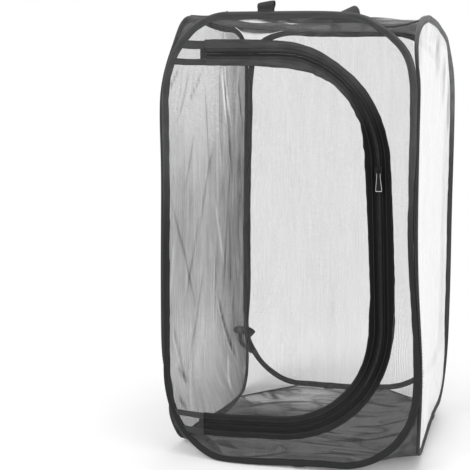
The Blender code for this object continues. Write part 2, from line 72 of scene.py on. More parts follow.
# Cage, as the solids have it
front_low, front_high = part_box("front_hoop_binding")
right_low, right_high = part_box("right_hoop_binding")
cage_height = front_high.z
front_half = front_high.x
side_half = right_high.y
tape_depth = front_high.y - front_low.y
wall_y = -(front_high.y + front_low.y) / 2
wall_x = (right_high.x + right_low.x) / 2
hinge = wall_x - tape_depth / 2
top_corner = (0.089, 0.119)
foot_corner = (0.091, 0.118)
walls = {
    "front": (0, (0, -wall_y), front_half),
    "right": (90, (wall_x, 0), side_half),
    "left": (-90, (-wall_x, 0), side_half),
    "back": (180, (0, wall_y), front_half),
}
tape_width = 0.0095
joint_place = 0.024
joint_overlap = 0.016
gauze_inset = 0.0082

# Zip line of the door, as the solids have it
zip_low, zip_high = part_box("frame_zip_tape")
tape_reach = 0.0067
zip_top = zip_high.z - tape_reach
zip_bottom = zip_low.z + tape_reach
zip_right = front_half - 0.0410
zip_left = zip_low.x
zip_top_corner = (0.133, 0.141)
zip_foot_corner = (0.138, 0.150)
zip_lean_share = 0.036

# How the soft hoops have settled, in millimetres: a place across and up the wall, how far it reaches
# across and up, and its shift across, out and up
settled = {
    "front": ((169, 120, 60, 130, 14.5, 0, -2), (169, 440, 50, 60, 3, 0, 0),
              (120, 590, 50, 40, 0, 0, -4.5), (158, 545, 40, 45, 6.8, 0, 1.6),
              (-155, 550, 50, 50, -3, 0, 1), (-169, 470, 50, 70, -3, 0, 0),
              (-169, 250, 50, 160, -2.2, 0, 0), (-80, 0, 70, 50, 0, 8.5, 0),
              (-118, 15, 50, 40, 0, -4.2, 1), (90, 0, 80, 40, 0, 0, 4.8)),
    "left": ((169, 490, 50, 80, 0, 4, 0), (169, 250, 50, 160, 0, 2.2, 0),
             (-150, 575, 55, 55, -17, 0, 12), (-120, 30, 75, 70, -12, -8, -10),
             (-169, 300, 50, 200, 0, 1.8, 0), (-10, 0, 90, 50, 0, -24, 0),
             (170, 85, 40, 35, 0, -9, 0), (120, 14, 30, 22, 10, -7, -7),
             (150, 540, 50, 50, 0, -4, 0), (142, 575, 40, 40, -4.5, 0, -4.5),
             (45, 600, 60, 40, 0, 0, 6)),
    "right": ((-169, 120, 60, 120, 0, 10.5, 0), (-169, 570, 35, 48, 0, -13.7, 0),
              (-146, 580, 35, 32, -7.5, 0, 15.6), (130, 590, 60, 60, 0, 0, -22.8),
              (40, 600, 50, 40, 0, 0, -5.9), (-165, 530, 30, 40, 18.1, 0, 0),
              (169, 450, 60, 140, 0, 3, 0), (169, 200, 60, 140, 0, 2.6, 0),
              (50, 0, 110, 60, 0, 0, 18)),
    "back": ((169, 300, 50, 240, 6.6, 0, 0), (150, 575, 55, 55, 16, 0, 12),
             (150, 70, 60, 60, 8, 0, 0), (-110, 0, 70, 50, 0, 0, 9),
             (-169, 500, 60, 100, -3, 0, 0)),
}
settled_zip = ((-105, 60, 85, 60, 0, 0, -6.5),)
soft_edge = (0.012, 0.12)
front_soft_edge = (0.011, 0.0235)

# Mesh steps
arc_points = 48
thread_step = 0.003
tiny = 1e-7
noise_cells = 256
bar_rings = ((0, 0.4), (0.18, 0.95), (0.82, 0.95), (1, 0.4))
bar_sides = 6

# Cloth, its grain sizes across and along, and its shares of light threads, fine and broad grain
herringbone_width = 0.0022
rib_yarn_share = 0.45
rib_yarn_height = 0.35
cloth_fine = (0.0009, 0.0022)
cloth_broad = (0.007, 0.030)
cloth_shares = (0.16, 0.5, 0.55)
cloth_bump = 0.00008
cloth_uneven = 0.08
gauze_wander = 0.0016
gauze_wanders = ((0.005, 0.030), (0.012, 0.006))
gauze_thread_share = 0.2
gauze_thread_blur = 0.15
gauze_streak = (0.0028, 0.060)
gauze_patch = (0.045, 0.060)
patch_change = 0.06
scuff_scales = ((900.0, 4.0), (160.0, 2.0))
scuff_depth = 0.00003
scuff_range = 0.06

# Hoop tape: its round edge over the wire, its neck, and its lip with the seam, as insets and heights
bulge_turns = 125
bulge_points = 8
lip_section = ((0.0054, 0.00145), (0.0063, 0.00105), (0.0072, 0.00075), (0.0080, 0.00095),
               (0.0089, 0.00095), (0.0095, 0.00050))
seam_inset = 0.0072
seam_lift = 0.00082
lip_start = 0.0040
lip_waves = ((0.0004, 0.011), (0.0006, 0.026))
wire_inset = tape_depth / 2
joint_swell = 0.10
joint_step = 0.0008
sleeve_swell = 0.30
sleeve_ends = (0.6, 0.3)
seeds = {"front": 11, "right": 23, "left": 37, "back": 41}
twisted = {
    "front": ((0.10, 0.20), (-0.44, -0.36), 38),
    "right": ((0.03, 0.14), (-0.60, -0.57), 48),
}
twist_side = (0.02, 0.12)
gauze_follow = 0.035
# How much paler the tape's crest is than its lip: wear on the raised edge and a painted highlight along it
crest_wear_and_highlight = 0.25
tape_mottle = (0.15, 0.05, 0.003)
# The front hoop's tone, and the painted shade on its lower part: how much darker, and the heights where it
# darkens
front_shade_tones = (1.75, 1.55, (-0.42, -0.28))
# Light on two hoops: its strength, and the heights and the places across where it comes in; the back
# hoop is lit all across, since its places lie outside the wall
hoop_light = {
    "right": (3.7, (0.36, 0.56), (-0.168, -0.13)),
    "back": (2.2, (0.57, 0.59), (-1, -0.9)),
}
pinch_height = 0.566
pinch_reach = 0.036
pinch_share = 0.42
pinch_side = (0.12, 0.15)
stitch_pitch = 0.0031
stitch_length = 0.0023
thread_radius = 0.00021

# Zip
tape_section_points = ((0.0001, 0.00030), (0.0022, 0.00045), (0.0036, 0.00040), (0.0052, 0.00045),
                       (0.0078, 0.00045))
zip_starts = {"frame": -0.0004, "door": 0.0006}
zip_bodies = {"frame": "front_wall", "door": "door"}
coil_seam = 0.0040
coil_seam_lift = 0.00055
coil_stitch = (0.0024, 0.0017, 0.00018)
coil_margin = 0.0022
coil_pitch = 0.0015
coil_turn_points = 8
coil_middle = 0.00125
coil_half_width = 0.00120
coil_half_height = 0.00075
coil_wire = 0.00038
coil_lift = 0.0017
binding_start = 0.0069
binding_step = 0.0015
binding_edge = ((0, 0), (0.0002, 0.0008), (0.0010, 0.0011), (0.0019, 0.0008), (0.0028, 0.0011))
binding_gather = {"frame": 0.15, "door": 0.75}
least_gather = 0.25
gather_starts = (0.36, 0.44)
gather_ends = (-0.548, -0.52)
gather_size = (0.0062, 0.02)
gather_reach = 0.0009
gather_height = 0.0014
gauze_grip = 0.0105
binding_fullness = {
    "frame": ((0.0, 1.0), (0.36, 0.95), (0.46, 1.17), (0.53, 1.12), (0.64, 0.88), (0.74, 0.83),
              (0.79, 0.65), (0.87, 1.0), (0.93, 1.25), (1.0, 1.25)),
    "door": ((0.0, 1.0), (0.30, 1.0), (0.36, 1.16), (0.40, 1.15), (0.43, 0.88), (0.51, 1.0),
             (0.58, 1.15), (0.635, 1.38), (0.67, 1.2), (0.70, 0.70), (0.745, 0.58), (0.775, 0.66),
             (0.80, 0.86), (0.85, 1.34), (0.88, 1.34), (0.92, 1.05), (1.0, 1.0)),
}
binding_widths = {"frame": 0.0094, "door": 0.0086}
tail_edge = ((0.0, 0.0), (0.0002, 0.0009), (0.0010, 0.0011), (0.0020, 0.0009))
tail_inset = tape_width - 0.0015
tack_sides = (-0.0062, 0.0012)
tack_pitch = 0.0007

# Gauze
wall_rows = (84, 22)
wall_columns = 150
wall_folds = ((0.0022, 0.060, 0.160), (0.0009, 0.014, 0.120))
front_folds = ((0.0016, 0.045, 0.12), (0.0006, 0.012, 0.09))
door_folds = ((0.0022, 0.07, 0.16), (0.0006, 0.012, 0.11))
front_seed = 61
door_seed = 71
front_density = 0.19
# How much of the back and right walls the gauze covers; the right wall's high cover carries its painted glare
wall_density = {"right": 0.9, "back": 0.17}
# The left gauze's cover, which is partly painted shade: its middle and its rear, each with more below its
# top, and a thinner band: how much thinner, its height and reach
left_covers = ((0.27, 0.33), (0.70, 0.15), (0.10, 0.12, 0.07))
left_top_fades = (-0.53, -0.30)
left_rear_fades = (-0.03, 0.16)
fold_rim = 0.03
wall_fold_rim = 0.035
slope_gains = {"wall": 0.9, "front": 0.5, "level": 0.12}
level_sag = {"roof_gauze": 0.004, "floor_gauze": -0.001}
level_density = 0.965
level_lowest = 0.0004
level_rim = 0.09
front_right_sag = -0.014
# How much each corner's gauze covers; the roof's front left is dense, for painted shade between its two hoops
gusset_density = {
    "roof_gusset_front_left": 0.97, "roof_gusset_front_right": 0.18,
    "roof_gusset_back_left": 0.12, "roof_gusset_back_right": 0.15,
    "floor_gusset_front_left": 0.9, "floor_gusset_front_right": 0.92,
    "floor_gusset_back_left": 0.2, "floor_gusset_back_right": 0.3,
}
gusset_bulge = {"roof_gusset_back_left": 0.024, "roof_gusset_back_right": 0.012}
gusset_setback = -0.0022
gusset_least_area = 0.31

# Seams, loops and strap; the back loop's line is measured from its middle, with a share of its height
seam_radius = 0.0013
overcast_pitch = 0.0042
overcast_reach = 0.0026
overcast_slant = 0.0008
overcast_lift = 0.0011
overcast_radius = 0.00024
loop_thickness = 0.0013
back_loop_width = 0.019
tongue_size = (0.0140, 0.0014)
stay_size = (0.0072, 0.0012)
sewn_size = (0.0048, 0.0105)
sewn_step = 0.0022
loop_depth_in = 0.0012
back_loop_line = ((-0.027, 0, 0), (-0.029, -0.001, 0.35), (-0.026, -0.002, 0.62), (-0.014, -0.002, 0.82),
                  (-0.001, -0.001, 0.97), (0.004, 0, 0.90), (0.008, 0.001, 0.66), (0.017, 0.001, 0.45),
                  (0.019, 0, 0))
strap_drop = (-0.0006, 0.0, -0.0012)
tongue_root = ((0.0045, -0.0005, -0.0056), (0.002, 0, -0.0034), (-0.003, 0, -0.0006), (-0.009, 0, 0))
stay_at_stud = ((0.0020, -0.0012, -0.004), (0.0026, -0.0016, -0.016), (0.0060, -0.0016, -0.023))
stay_at_root = ((-0.0015, -0.0010, -0.033), (0.0030, 0, -0.037))

# Folds in the gauze, in millimetres: from one place to another, and a width, with a strength, which is
# a height in metres for a crease; then soft patches in metres: a place and how far it reaches
line_strength = 1.6
gauze_lines = {"left": (
    (121, 531, 155, 491, 3, 0.22), (22, 535, 97, 463, 3, 0.18), (79, 530, 128, 442, 3, 0.16),
    (-20, 423, 55, 263, 3.5, 0.12), (-49, 538, -77, 437, 3.4, -0.32), (-66, 538, -95, 440, 3, -0.30),
    (-57, 530, -86, 445, 3, 0.20), (22, 522, -8, 347, 3.4, 0.12), (148, 361, 38, 139, 3, 0.12),
    (-95, 404, -54, 133, 3.6, 0.10), (40, 321, 113, 157, 3, 0.12), (-82, 77, -38, 16, 3.4, -0.16),
    (131, 110, 76, 66, 4.6, 0.18), (127, 66, 91, 33, 3.6, 0.18), (20, 240, 100, 60, 3, 0.12),
    (130, 300, 150, 180, 3.6, -0.10), (-20, 340, -70, 200, 3.6, -0.12), (60, 440, 110, 330, 3, 0.12),
)}
gauze_creases = {"left": (
    (100, 560, 135, 440, 2.2, 0.0016), (50, 570, 90, 430, 2.2, 0.0014), (-45, 560, -55, 360, 3, 0.0030),
    (-70, 560, -100, 330, 2.8, 0.0022), (-120, 520, -155, 420, 2.6, 0.0018),
    (-110, 50, -20, 200, 3, 0.0024), (140, 170, 90, 60, 3.4, 0.0026), (-20, 130, -30, 260, 2.6, 0.0012),
)}
gauze_darker_patches = {"right": (
    ((-0.165, 0.572), (0.020, 0.030)), ((-0.140, 0.555), (0.012, 0.025)), ((0.010, 0.553), (0.020, 0.030)),
    ((0.060, 0.520), (0.020, 0.035)), ((0.118, 0.480), (0.016, 0.040)),
)}
floor_creases = (
    (-155, 94, -126, 128, 4, 1.0), (-140, 118, -55, 158, 4, 1.0), (-145, 36, -90, 74, 4, 1.0),
    (-105, 64, -18, 88, 4, 1.0), (-138, 145, -75, 75, 3.6, 0.9), (-120, -116, -66, -135, 3.6, 0.8),
    (-10, -83, 92, -86, 3.6, 0.9), (45, -5, 150, 29, 3.6, 0.8), (30, -74, 160, -18, 3.6, 0.9),
    (35, 120, 132, 91, 3.6, 0.8), (-90, -169, 20, -122, 3.4, 0.8), (-20, -20, 60, -40, 3.4, 0.8),
    (0, 40, 110, 60, 3.6, 0.7), (20, -140, 120, -110, 3.4, 0.8),
)
roof_gaps = (((-0.081, -0.055), (0.022, 0.024)), ((-0.040, -0.035), (0.009, 0.030)))
roof_gap_share = 0.9
roof_edge_fades = (0.02, 0.06)
roof_edge_cover = 0.995
# How much painted shade darkens the roof's front edge
roof_edge_shade = 0.9
roof_corner_across = (0.085, 0.115)
roof_corner_depths = (0.004, 0.028)
roof_corner_share = 0.6


def ease(value, start, end):
    """A smooth rise from 0 at the start to 1 at the end."""
    share = np.clip((value - start) / (end - start), 0, 1)
    return share * share * (3 - 2 * share)


def placed(name, data):
    """A new object in the scene."""
    made = bpy.data.objects.new(name, data)
    bpy.context.scene.collection.objects.link(made)
    return made


def directions(vectors):
    return vectors / np.linalg.norm(vectors, axis=1)[:, None]


def quarter(centre, reach, start):
    """Points of a quarter of an oval, from a starting angle in degrees."""
    angles = np.radians(start + 90 * np.linspace(0, 1, arc_points))
    return np.column_stack((centre[0] + reach[0] * np.cos(angles), centre[1] + reach[1] * np.sin(angles)))


def even_path(points, step):
    """A path in even steps, with its normals, which point to its left, and the length run so far."""
    points = np.vstack(points)
    gaps = np.linalg.norm(np.diff(points, axis=0), axis=1)
    points = points[np.append(True, gaps > tiny)]
    run = np.append(0, np.cumsum(gaps[gaps > tiny]))
    along = np.linspace(0, run[-1], round(run[-1] / step) + 1)
    even = np.column_stack([np.interp(along, run, points[:, axis]) for axis in (0, 1)])
    ahead = directions(np.gradient(even, along, axis=0))
    return even, np.column_stack((-ahead[:, 1], ahead[:, 0])), along


def hoop_path(half):
    """A hoop's outer edge, anticlockwise, with its ends overlapping at the foot."""
    run_top, run_foot = half - top_corner[0], half - foot_corner[0]
    rise_top = cage_height - top_corner[1]
    return even_path([
        [(joint_place - joint_overlap / 2, 0)],
        quarter((run_foot, foot_corner[1]), foot_corner, -90),
        quarter((run_top, rise_top), top_corner, 0),
        quarter((-run_top, rise_top), top_corner, 90),
        quarter((-run_foot, foot_corner[1]), foot_corner, 180),
        [(joint_place + joint_overlap / 2, 0)],
    ], thread_step)


def leaning(points):
    """Points of the zip moved across as the zip leans, which grows from nothing at the door's hinge."""
    share = (points[:, 0] - zip_left) / (zip_right - zip_left)
    lean = zip_lean_share * share * (cage_height / 2 - points[:, 1])
    return points + np.column_stack((lean, np.zeros(len(points))))


def zip_path(step=thread_step, start=0.0):
    """The zip's line, from its lower left end to its upper left end; the door is on its left."""
    middle_foot = (zip_right - zip_foot_corner[0], zip_bottom + zip_foot_corner[1])
    middle_top = (zip_right - zip_top_corner[0], zip_top - zip_top_corner[1])
    return even_path([leaning(np.vstack([
        [(zip_left + start, zip_bottom)],
        quarter(middle_foot, zip_foot_corner, -90),
        quarter(middle_top, zip_top_corner, 0),
        [(zip_left + start, zip_top)],
    ]))], step)


def half_width(half, up, inset):
    """Half of a hoop's width inside an inset, at these heights."""
    top_rise = np.clip(up - (cage_height - top_corner[1]), 0, None)
    foot_rise = np.clip(foot_corner[1] - up, 0, None)
    share = np.clip(top_rise / (top_corner[1] - inset) + foot_rise / (foot_corner[1] - inset), 0, 1)
    corner = np.where(up > cage_height / 2, top_corner[0], foot_corner[0])
    return half - corner + (corner - inset) * np.sqrt(1 - share ** 2)


def shifts(rows, across, up):
    """How far the soft parts have settled at places in a wall: across it, out of it and up."""
    moved = np.zeros((3, *np.broadcast(across, up).shape))
    for place, height, wide, high, *shift in np.array(rows) / 1000:
        near = np.exp(-((across - place) / wide) ** 2 - ((up - height) / high) ** 2)
        moved += np.multiply.outer(shift, near)
    return moved


def in_wall(side, across, out, up):
    """Points in a wall, from how far across it, out of it and up it they are, as its hoop has settled."""
    turn, middle, half = walls[side]
    cosine, sine = math.cos(math.radians(turn)), math.sin(math.radians(turn))
    across, out, up = (part.astype(float) for part in np.broadcast_arrays(across, out, up))
    edge = np.minimum(half_width(half, up, 0) - np.abs(across), np.minimum(up, cage_height - up))
    held = 1 - ease(edge, *(front_soft_edge if side == "front" else soft_edge))
    moved = shifts(settled[side], across, up) * held
    if side == "front":
        moved += shifts(settled_zip, across, up)
    across, out, up = across + moved[0], out + moved[1], np.maximum(up + moved[2], np.minimum(up, 0))
    return np.stack((middle[0] + cosine * across + sine * out,
                     middle[1] + sine * across - cosine * out, up), axis=-1)


def path_values(path, at, part=0):
    """A path's places, or its normals as part 1, at lengths along it: across and up."""
    return [np.interp(at, path[2], path[part][:, axis]) for axis in (0, 1)]


def on_path(side, path, at, inset, out, shift=0.0):
    """Points at a length along a path in a wall, moved in from it, out of the wall and on along it."""
    place, normal = path_values(path, at), path_values(path, at, 1)
    across = place[0] + inset * normal[0] + shift * normal[1]
    up = place[1] + inset * normal[1] - shift * normal[0]
    return in_wall(side, across, out, up)


def smooth_noise(across, along, seed):
    """Smooth values from -1 to 1, with a new one at each whole number across and along."""
    values = np.random.default_rng(seed).uniform(-1, 1, (noise_cells, noise_cells))
    across, along = np.broadcast_arrays(across, along)
    column, row = np.floor(across).astype(int), np.floor(along).astype(int)
    ease_across, ease_along = (part ** 2 * (3 - 2 * part) for part in (across - column, along - row))

    def line(ahead):
        near, far = (values[(column + right) % noise_cells, (row + ahead) % noise_cells]
                     for right in (0, 1))
        return near * (1 - ease_across) + far * ease_across

    return line(0) * (1 - ease_along) + line(1) * ease_along


def waves(across, along, seed, *layers):
    """Smooth waves in layers, each with a height, its sizes across and along, and a noise of its own."""
    return sum(height * smooth_noise(across / wide, along / long, seed + step)
               for step, (height, wide, long) in enumerate(layers))


def creased(across, up, creases):
    """Sharp folds, each from one point to another, with a width and a strength."""
    total = np.zeros(np.broadcast(across, up).shape)
    for *points, width, strength in creases:
        start, end = np.array(points).reshape(2, 2) / 1000
        length = np.linalg.norm(end - start)
        ahead = (end - start) / length
        along = (across - start[0]) * ahead[0] + (up - start[1]) * ahead[1]
        aside = (across - start[0]) * ahead[1] - (up - start[1]) * ahead[0]
        fade = ease(along, 0, 0.25 * length) * ease(-along, -length, -0.55 * length)
        total += strength * fade * np.exp(-(aside / (width / 1000)) ** 2)
    return total


def patch(across, depth, centre, reach):
    """A soft-edged oval patch."""
    return np.exp(-(((across - centre[0]) / reach[0]) ** 2 + ((depth - centre[1]) / reach[1]) ** 2) ** 2)


def thickened(cover, slope, gain, limit=0.3):
    """How much gauze covers where it slopes, since more threads lie behind each other there."""
    return cover * (1 + gain * np.clip(slope, -limit, limit))


def section_length(section):
    gaps = np.linalg.norm(np.diff(section, axis=0), axis=1)
    return np.append(0, np.cumsum(gaps))


def mesh_from(name, points, faces):
    mesh = bpy.data.meshes.new(name)
    mesh.from_pydata(points.reshape(-1, 3).tolist(), [], faces)
    mesh.shade_smooth()
    return mesh


def add_values(mesh, shape, **values):
    """Give the points of a mesh the values that its material reads."""
    for name, amounts in values.items():
        attribute = mesh.attributes.new(name, "FLOAT", "POINT")
        attribute.data.foreach_set("value", np.ravel(np.broadcast_to(amounts, shape)).astype(np.float32))


def volume_of(mesh):
    total = 0.0
    for face in mesh.polygons:
        corners = [mesh.vertices[index].co for index in face.vertices]
        for second, third in zip(corners[1:], corners[2:]):
            total += corners[0].dot(second.cross(third))
    return total


def grid_mesh(name, grid, across, along, wrap=False, ring=False, tone=1.0, density=1.0):
    """A mesh from rows of points, with its cloth's measures and tones; a wrapped one is a closed tube."""
    rows, columns = grid.shape[:2]
    index = np.arange(rows * columns).reshape(rows, columns)
    if wrap:
        index = np.column_stack((index, index[:, 0]))
    low, high = (index, np.roll(index, -1, axis=0)) if ring else (index[:-1], index[1:])
    faces = np.stack((low[:, :-1], low[:, 1:], high[:, 1:], high[:, :-1]), axis=-1)
    polygons = faces.reshape(-1, 4).tolist()
    if wrap:
        polygons += [index[0, :-1][::-1].tolist(), index[-1, :-1].tolist()]
    mesh = mesh_from(name, grid, polygons)
    if wrap and volume_of(mesh) < 0:
        mesh.flip_normals()
    add_values(mesh, (rows, columns), across=across, along=along, tone=tone, cover=density)
    return mesh


def piece(mesh, material, body, slot, *replaced):
    """Put a mesh in the scene as a piece that rides on a body and stands for the solids named last."""
    made = placed(mesh.name, mesh)
    mesh.materials.append(material)
    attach(made, body)
    if replaced:
        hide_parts(*replaced)
    return made


def bars_mesh(name, starts, ends, out, radius):
    """Short tapered threads between pairs of points on a surface that faces out."""
    starts, ends = starts.reshape(-1, 3), ends.reshape(-1, 3)
    ahead = directions(ends - starts)
    out = np.broadcast_to(out, ahead.shape)
    aside = directions(np.cross(ahead, out))
    points = []
    for share, width in bar_rings:
        middle = starts + share * (ends - starts)
        for angle in np.radians(np.arange(0, 360, 360 // bar_sides)):
            points.append(middle + radius * width * (math.cos(angle) * aside + math.sin(angle) * out))
    points = np.stack(points, axis=1)
    faces = []
    for low in range(0, points.shape[1] - bar_sides, bar_sides):
        high = low + bar_sides
        for corner in range(bar_sides):
            after = (corner + 1) % bar_sides
            faces.append((low + corner, high + corner, high + after, low + after))
    faces += [range(bar_sides), range(points.shape[1] - 1, points.shape[1] - 1 - bar_sides, -1)]
    polygons = [[base + corner for corner in face]
                for base in range(0, len(starts) * points.shape[1], points.shape[1]) for face in faces]
    mesh = mesh_from(name, points, polygons)
    add_values(mesh, len(mesh.vertices), across=0.0, along=0.0, tone=1.0, cover=1.0)
    return mesh


def sewn(name, rows, body, slot, out=(0, -1, 0), radius=thread_radius):
    """A piece of stitches, from rows that each have the stitches' starts and ends."""
    starts, ends = (np.concatenate(points) for points in zip(*rows))
    return piece(bars_mesh(name, starts, ends, out, radius), stitch_thread, body, slot)


class Value:
    """An output of a shader node; sums and products of it add the nodes that work them out."""

    def __init__(self, socket, tree):
        self.socket = socket
        self.tree = tree

    def math(self, operation, other=0.0):
        return add_node(self.tree, "Math", {0: self, 1: other}, operation=operation)

    def __add__(self, other):
        return self.math("ADD", other)

    def __mul__(self, other):
        return self.math("MULTIPLY", other)

    def __rsub__(self, other):
        return add_node(self.tree, "Math", {0: other, 1: self}, operation="SUBTRACT")

    def ranged(self, low, high, low_result, high_result):
        return add_node(self.tree, "MapRange", {0: self, 1: low, 2: high, 3: low_result, 4: high_result})


def fill(tree, node, inputs):
    """Link a node's inputs to other nodes' outputs, or set them to constants."""
    for place, value in inputs.items():
        if isinstance(value, Value):
            tree.links.new(value.socket, node.inputs[place])
        else:
            node.inputs[place].default_value = value


def add_node(tree, kind, inputs, output=0, **settings):
    """One output of a new node."""
    made = tree.nodes.new("ShaderNode" + kind)
    for name, value in settings.items():
        setattr(made, name, value)
    fill(tree, made, inputs)
    return Value(made.outputs[output], tree) if made.outputs else made


def new_material(name):
    """A material, its node tree and its shader."""
    made = bpy.data.materials.new(name)
    made.use_nodes = True
    return made, made.node_tree, made.node_tree.nodes["Principled BSDF"]


def mesh_values(tree, *names):
    """Values that the mesh holds at its points."""
    return [add_node(tree, "Attribute", {}, "Fac", attribute_name=name) for name in names]


def wave(place, period):
    """A wave between -1 and 1 along a measure of the cloth."""
    return (place * (2 * math.pi / period)).math("SINE")


def speckle(across, along, sizes, detail=2.0):
    """Noise between 0 and 1 whose grains have these sizes across and along the cloth."""
    place = {0: across.math("DIVIDE", sizes[0]), 1: along.math("DIVIDE", sizes[1])}
    grains = add_node(across.tree, "CombineXYZ", place)
    return add_node(across.tree, "TexNoise", {"Vector": grains, "Scale": 1.0, "Detail": detail})


def blended(share, first, second):
    """A colour between two, by a share."""
    return add_node(share.tree, "Mix", {0: share, 6: first, 7: second}, 2, data_type="RGBA")


def bump(height, distance, strength=1.0):
    return add_node(height.tree, "Bump", {"Height": height, "Distance": distance, "Strength": strength})


def grey(level, tint=0.0):
    """A grey, a little cooler than neutral by the tint."""
    return level * (1 - tint), level, level * (1 + tint), 1


def woven_cloth(name, dark, light, period, weave="plain", roughness=0.8, sheen=0.15, usual=1.0, gloss=0.2):
    """Close-woven cloth: its threads, the unevenness of its dye, and the wear of its raised places; the tone
    its mesh holds also carries painted light and shade.
    """
    made, tree, shader = new_material(name)
    across, along, tone = mesh_values(tree, "across", "along", "tone")
    if weave == "plain":
        threads = wave(across, period) * wave(along, period)
    elif weave == "twill":
        threads = wave(along + across.math("PINGPONG", herringbone_width), period)
    else:
        threads = wave(along, period) + wave(across, period * rib_yarn_share) * rib_yarn_height
    fine, broad = speckle(across, along, cloth_fine, 3.0), speckle(across, along, cloth_broad)
    mixed = threads * cloth_shares[0] + fine * cloth_shares[1] + broad * cloth_shares[2]
    fill(tree, shader, {
        "Base Color": blended(mixed.ranged(0.1, 0.95, 0.0, usual) * tone, dark, light),
        "Roughness": fine.ranged(0.3, 0.7, roughness - cloth_uneven, roughness + cloth_uneven),
        "Normal": bump(threads + fine * 1.2, cloth_bump),
        "Sheen Weight": sheen,
        "Sheen Roughness": 0.4,
        "Specular IOR Level": gloss,
    })
    return made


def gauze_cloth(name, dark, light, streak, least=0.3, pitch=0.0009):
    """Insect gauze: a grid of fine threads with open holes, thicker where the cloth lies in folds."""
    made, tree, shader = new_material(name)
    across, along, tone, density = mesh_values(tree, "across", "along", "tone", "cover")
    limit = math.cos(math.pi * gauze_thread_share)
    covered = 1 - (1 - gauze_thread_share) ** 2

    def thread_lines(place, wander):
        moved = place + speckle(across, along, wander, 1.0) * gauze_wander
        return wave(moved, pitch).ranged(limit - gauze_thread_blur, limit + gauze_thread_blur, 0.0, 1.0)

    streaks = speckle(across, along, gauze_streak)
    patches = speckle(across, along, gauze_patch)
    uneven = patches.ranged(0.3, 0.7, -patch_change, patch_change)
    cover = density * (streaks.ranged(0.25, 0.75, 1 - streak, 1 + streak) + uneven)
    threads = thread_lines(across, gauze_wanders[0]).math("MAXIMUM", thread_lines(along, gauze_wanders[1]))
    on_thread = threads * cover.ranged(0.0, covered, 0.0, 1.0)
    in_hole = (1.0 - threads) * cover.ranged(covered, 1.0, 0.0, 1.0)
    fill(tree, shader, {
        "Alpha": on_thread + in_hole,
        "Base Color": blended(streaks.ranged(0.3, 0.7, least, 1.0) * tone, dark, light),
        "Normal": bump(threads, 0.0001, 0.5),
        "Roughness": 0.7,
        "Specular IOR Level": 0.3,
    })
    return made


def moulded(name, level, roughness, metallic=0.0):
    """Grey nylon or metal, with fine scuffs in its gloss and colour."""
    made, tree, shader = new_material(name)
    place = add_node(tree, "TexCoord", {}, "Object")
    fine, broad = (add_node(tree, "TexNoise", {"Vector": place, "Scale": scale, "Detail": detail})
                   for scale, detail in scuff_scales)
    fill(tree, shader, {
        "Roughness": fine.ranged(0.3, 0.7, roughness - scuff_range, roughness + scuff_range),
        "Base Color": blended(broad, grey(0.8 * level), grey(1.35 * level)),
        "Normal": bump(fine, scuff_depth, 0.4),
        "Metallic": metallic,
    })
    return made


def make_camera():
    yaw, pitch, roll = (math.radians(turn) for turn in camera_turns)
    ahead = Vector((-math.sin(yaw) * math.cos(pitch), math.cos(yaw) * math.cos(pitch), math.sin(pitch)))
    right = ahead.cross(Vector((0, 0, 1))).normalized()
    above = right.cross(ahead)
    right, above = (right * math.cos(roll) + above * math.sin(roll),
                    above * math.cos(roll) - right * math.sin(roll))
    data = bpy.data.cameras.new("camera")
    camera = placed("camera", data)
    turned = Matrix((right, above, -ahead)).transposed().to_4x4()
    turned.translation = Vector(camera_place)
    camera.matrix_world = turned
    data.sensor_width = sensor_width
    data.lens = focal_pixels / image_size * sensor_width
    data.shift_x = (image_size / 2 - picture_centre[0]) / image_size
    data.shift_y = (picture_centre[1] - image_size / 2) / image_size
    bpy.context.scene.camera = camera


def seen_directly(tree):
    """1 for rays from the camera and in reflections and glass, and otherwise 0."""
    camera, glossy, through = (add_node(tree, "LightPath", {}, f"Is {kind} Ray")
                               for kind in ("Camera", "Glossy", "Transmission"))
    return camera.math("MAXIMUM", glossy).math("MAXIMUM", through)


def make_world():
    world = bpy.data.worlds.new("studio")
    bpy.context.scene.world = world
    world.use_nodes = True
    tree = world.node_tree
    tree.nodes.clear()
    soft, white = (add_node(tree, "Background", {"Color": grey(1.0), "Strength": strength})
                   for strength in (world_light, 1.0))
    mixed = add_node(tree, "MixShader", {0: seen_directly(tree), 1: soft, 2: white})
    add_node(tree, "OutputWorld", {0: mixed})


def make_floor():
    """A pale floor that shows white away from the object and keeps a soft shadow beneath it."""
    ends = (-floor_half, floor_half)
    corners = np.array([(across, depth, floor_height) for depth in ends for across in ends])
    floor = placed("floor", mesh_from("floor", corners, [[0, 1, 3, 2]]))
    made, tree, shader = new_material("floor")
    fill(tree, shader, {"Base Color": grey(0.8), "Roughness": 0.9, "Specular IOR Level": 0.0})
    seen = seen_directly(tree)
    glow, white = (add_node(tree, "Emission", {0: grey(1.0), 1: strength})
                   for strength in (seen * floor_glow, 1.0))
    near = add_node(tree, "AddShader", {0: Value(shader.outputs[0], tree), 1: glow})
    place = add_node(tree, "NewGeometry", {}, "Position")
    distance = add_node(tree, "VectorMath", {0: place}, "Value", operation="LENGTH")
    away = distance.ranged(*floor_fades, 0.0, 1.0)
    mixed = add_node(tree, "MixShader", {0: away * seen, 1: near, 2: white})
    fill(tree, tree.nodes["Material Output"], {0: mixed})
    floor.data.materials.append(made)


def make_lamp(name, place, size, strength):
    """A soft square lamp that faces the middle of the cage."""
    data = bpy.data.lights.new(name, "AREA")
    data.shape = "SQUARE"
    data.size = size
    data.energy = strength
    lamp = placed(name, data)
    lamp.location = place
    aim = Vector((0, 0, cage_height / 2)) - Vector(place)
    lamp.rotation_euler = aim.to_track_quat("-Z", "Y").to_euler()


def mirrored(half):
    """A closed section from its upper half, which runs from the crest to the lip's edge."""
    half = np.array(half)
    return np.vstack((half[::-1], half[1:] * (1, -1)))


def tape_section():
    turns = np.radians(np.linspace(0, bulge_turns, bulge_points))
    radius = tape_depth / 2
    bulge = np.column_stack((radius * (1 - np.cos(turns)), radius * np.sin(turns)))
    return mirrored(np.vstack((bulge, lip_section)))


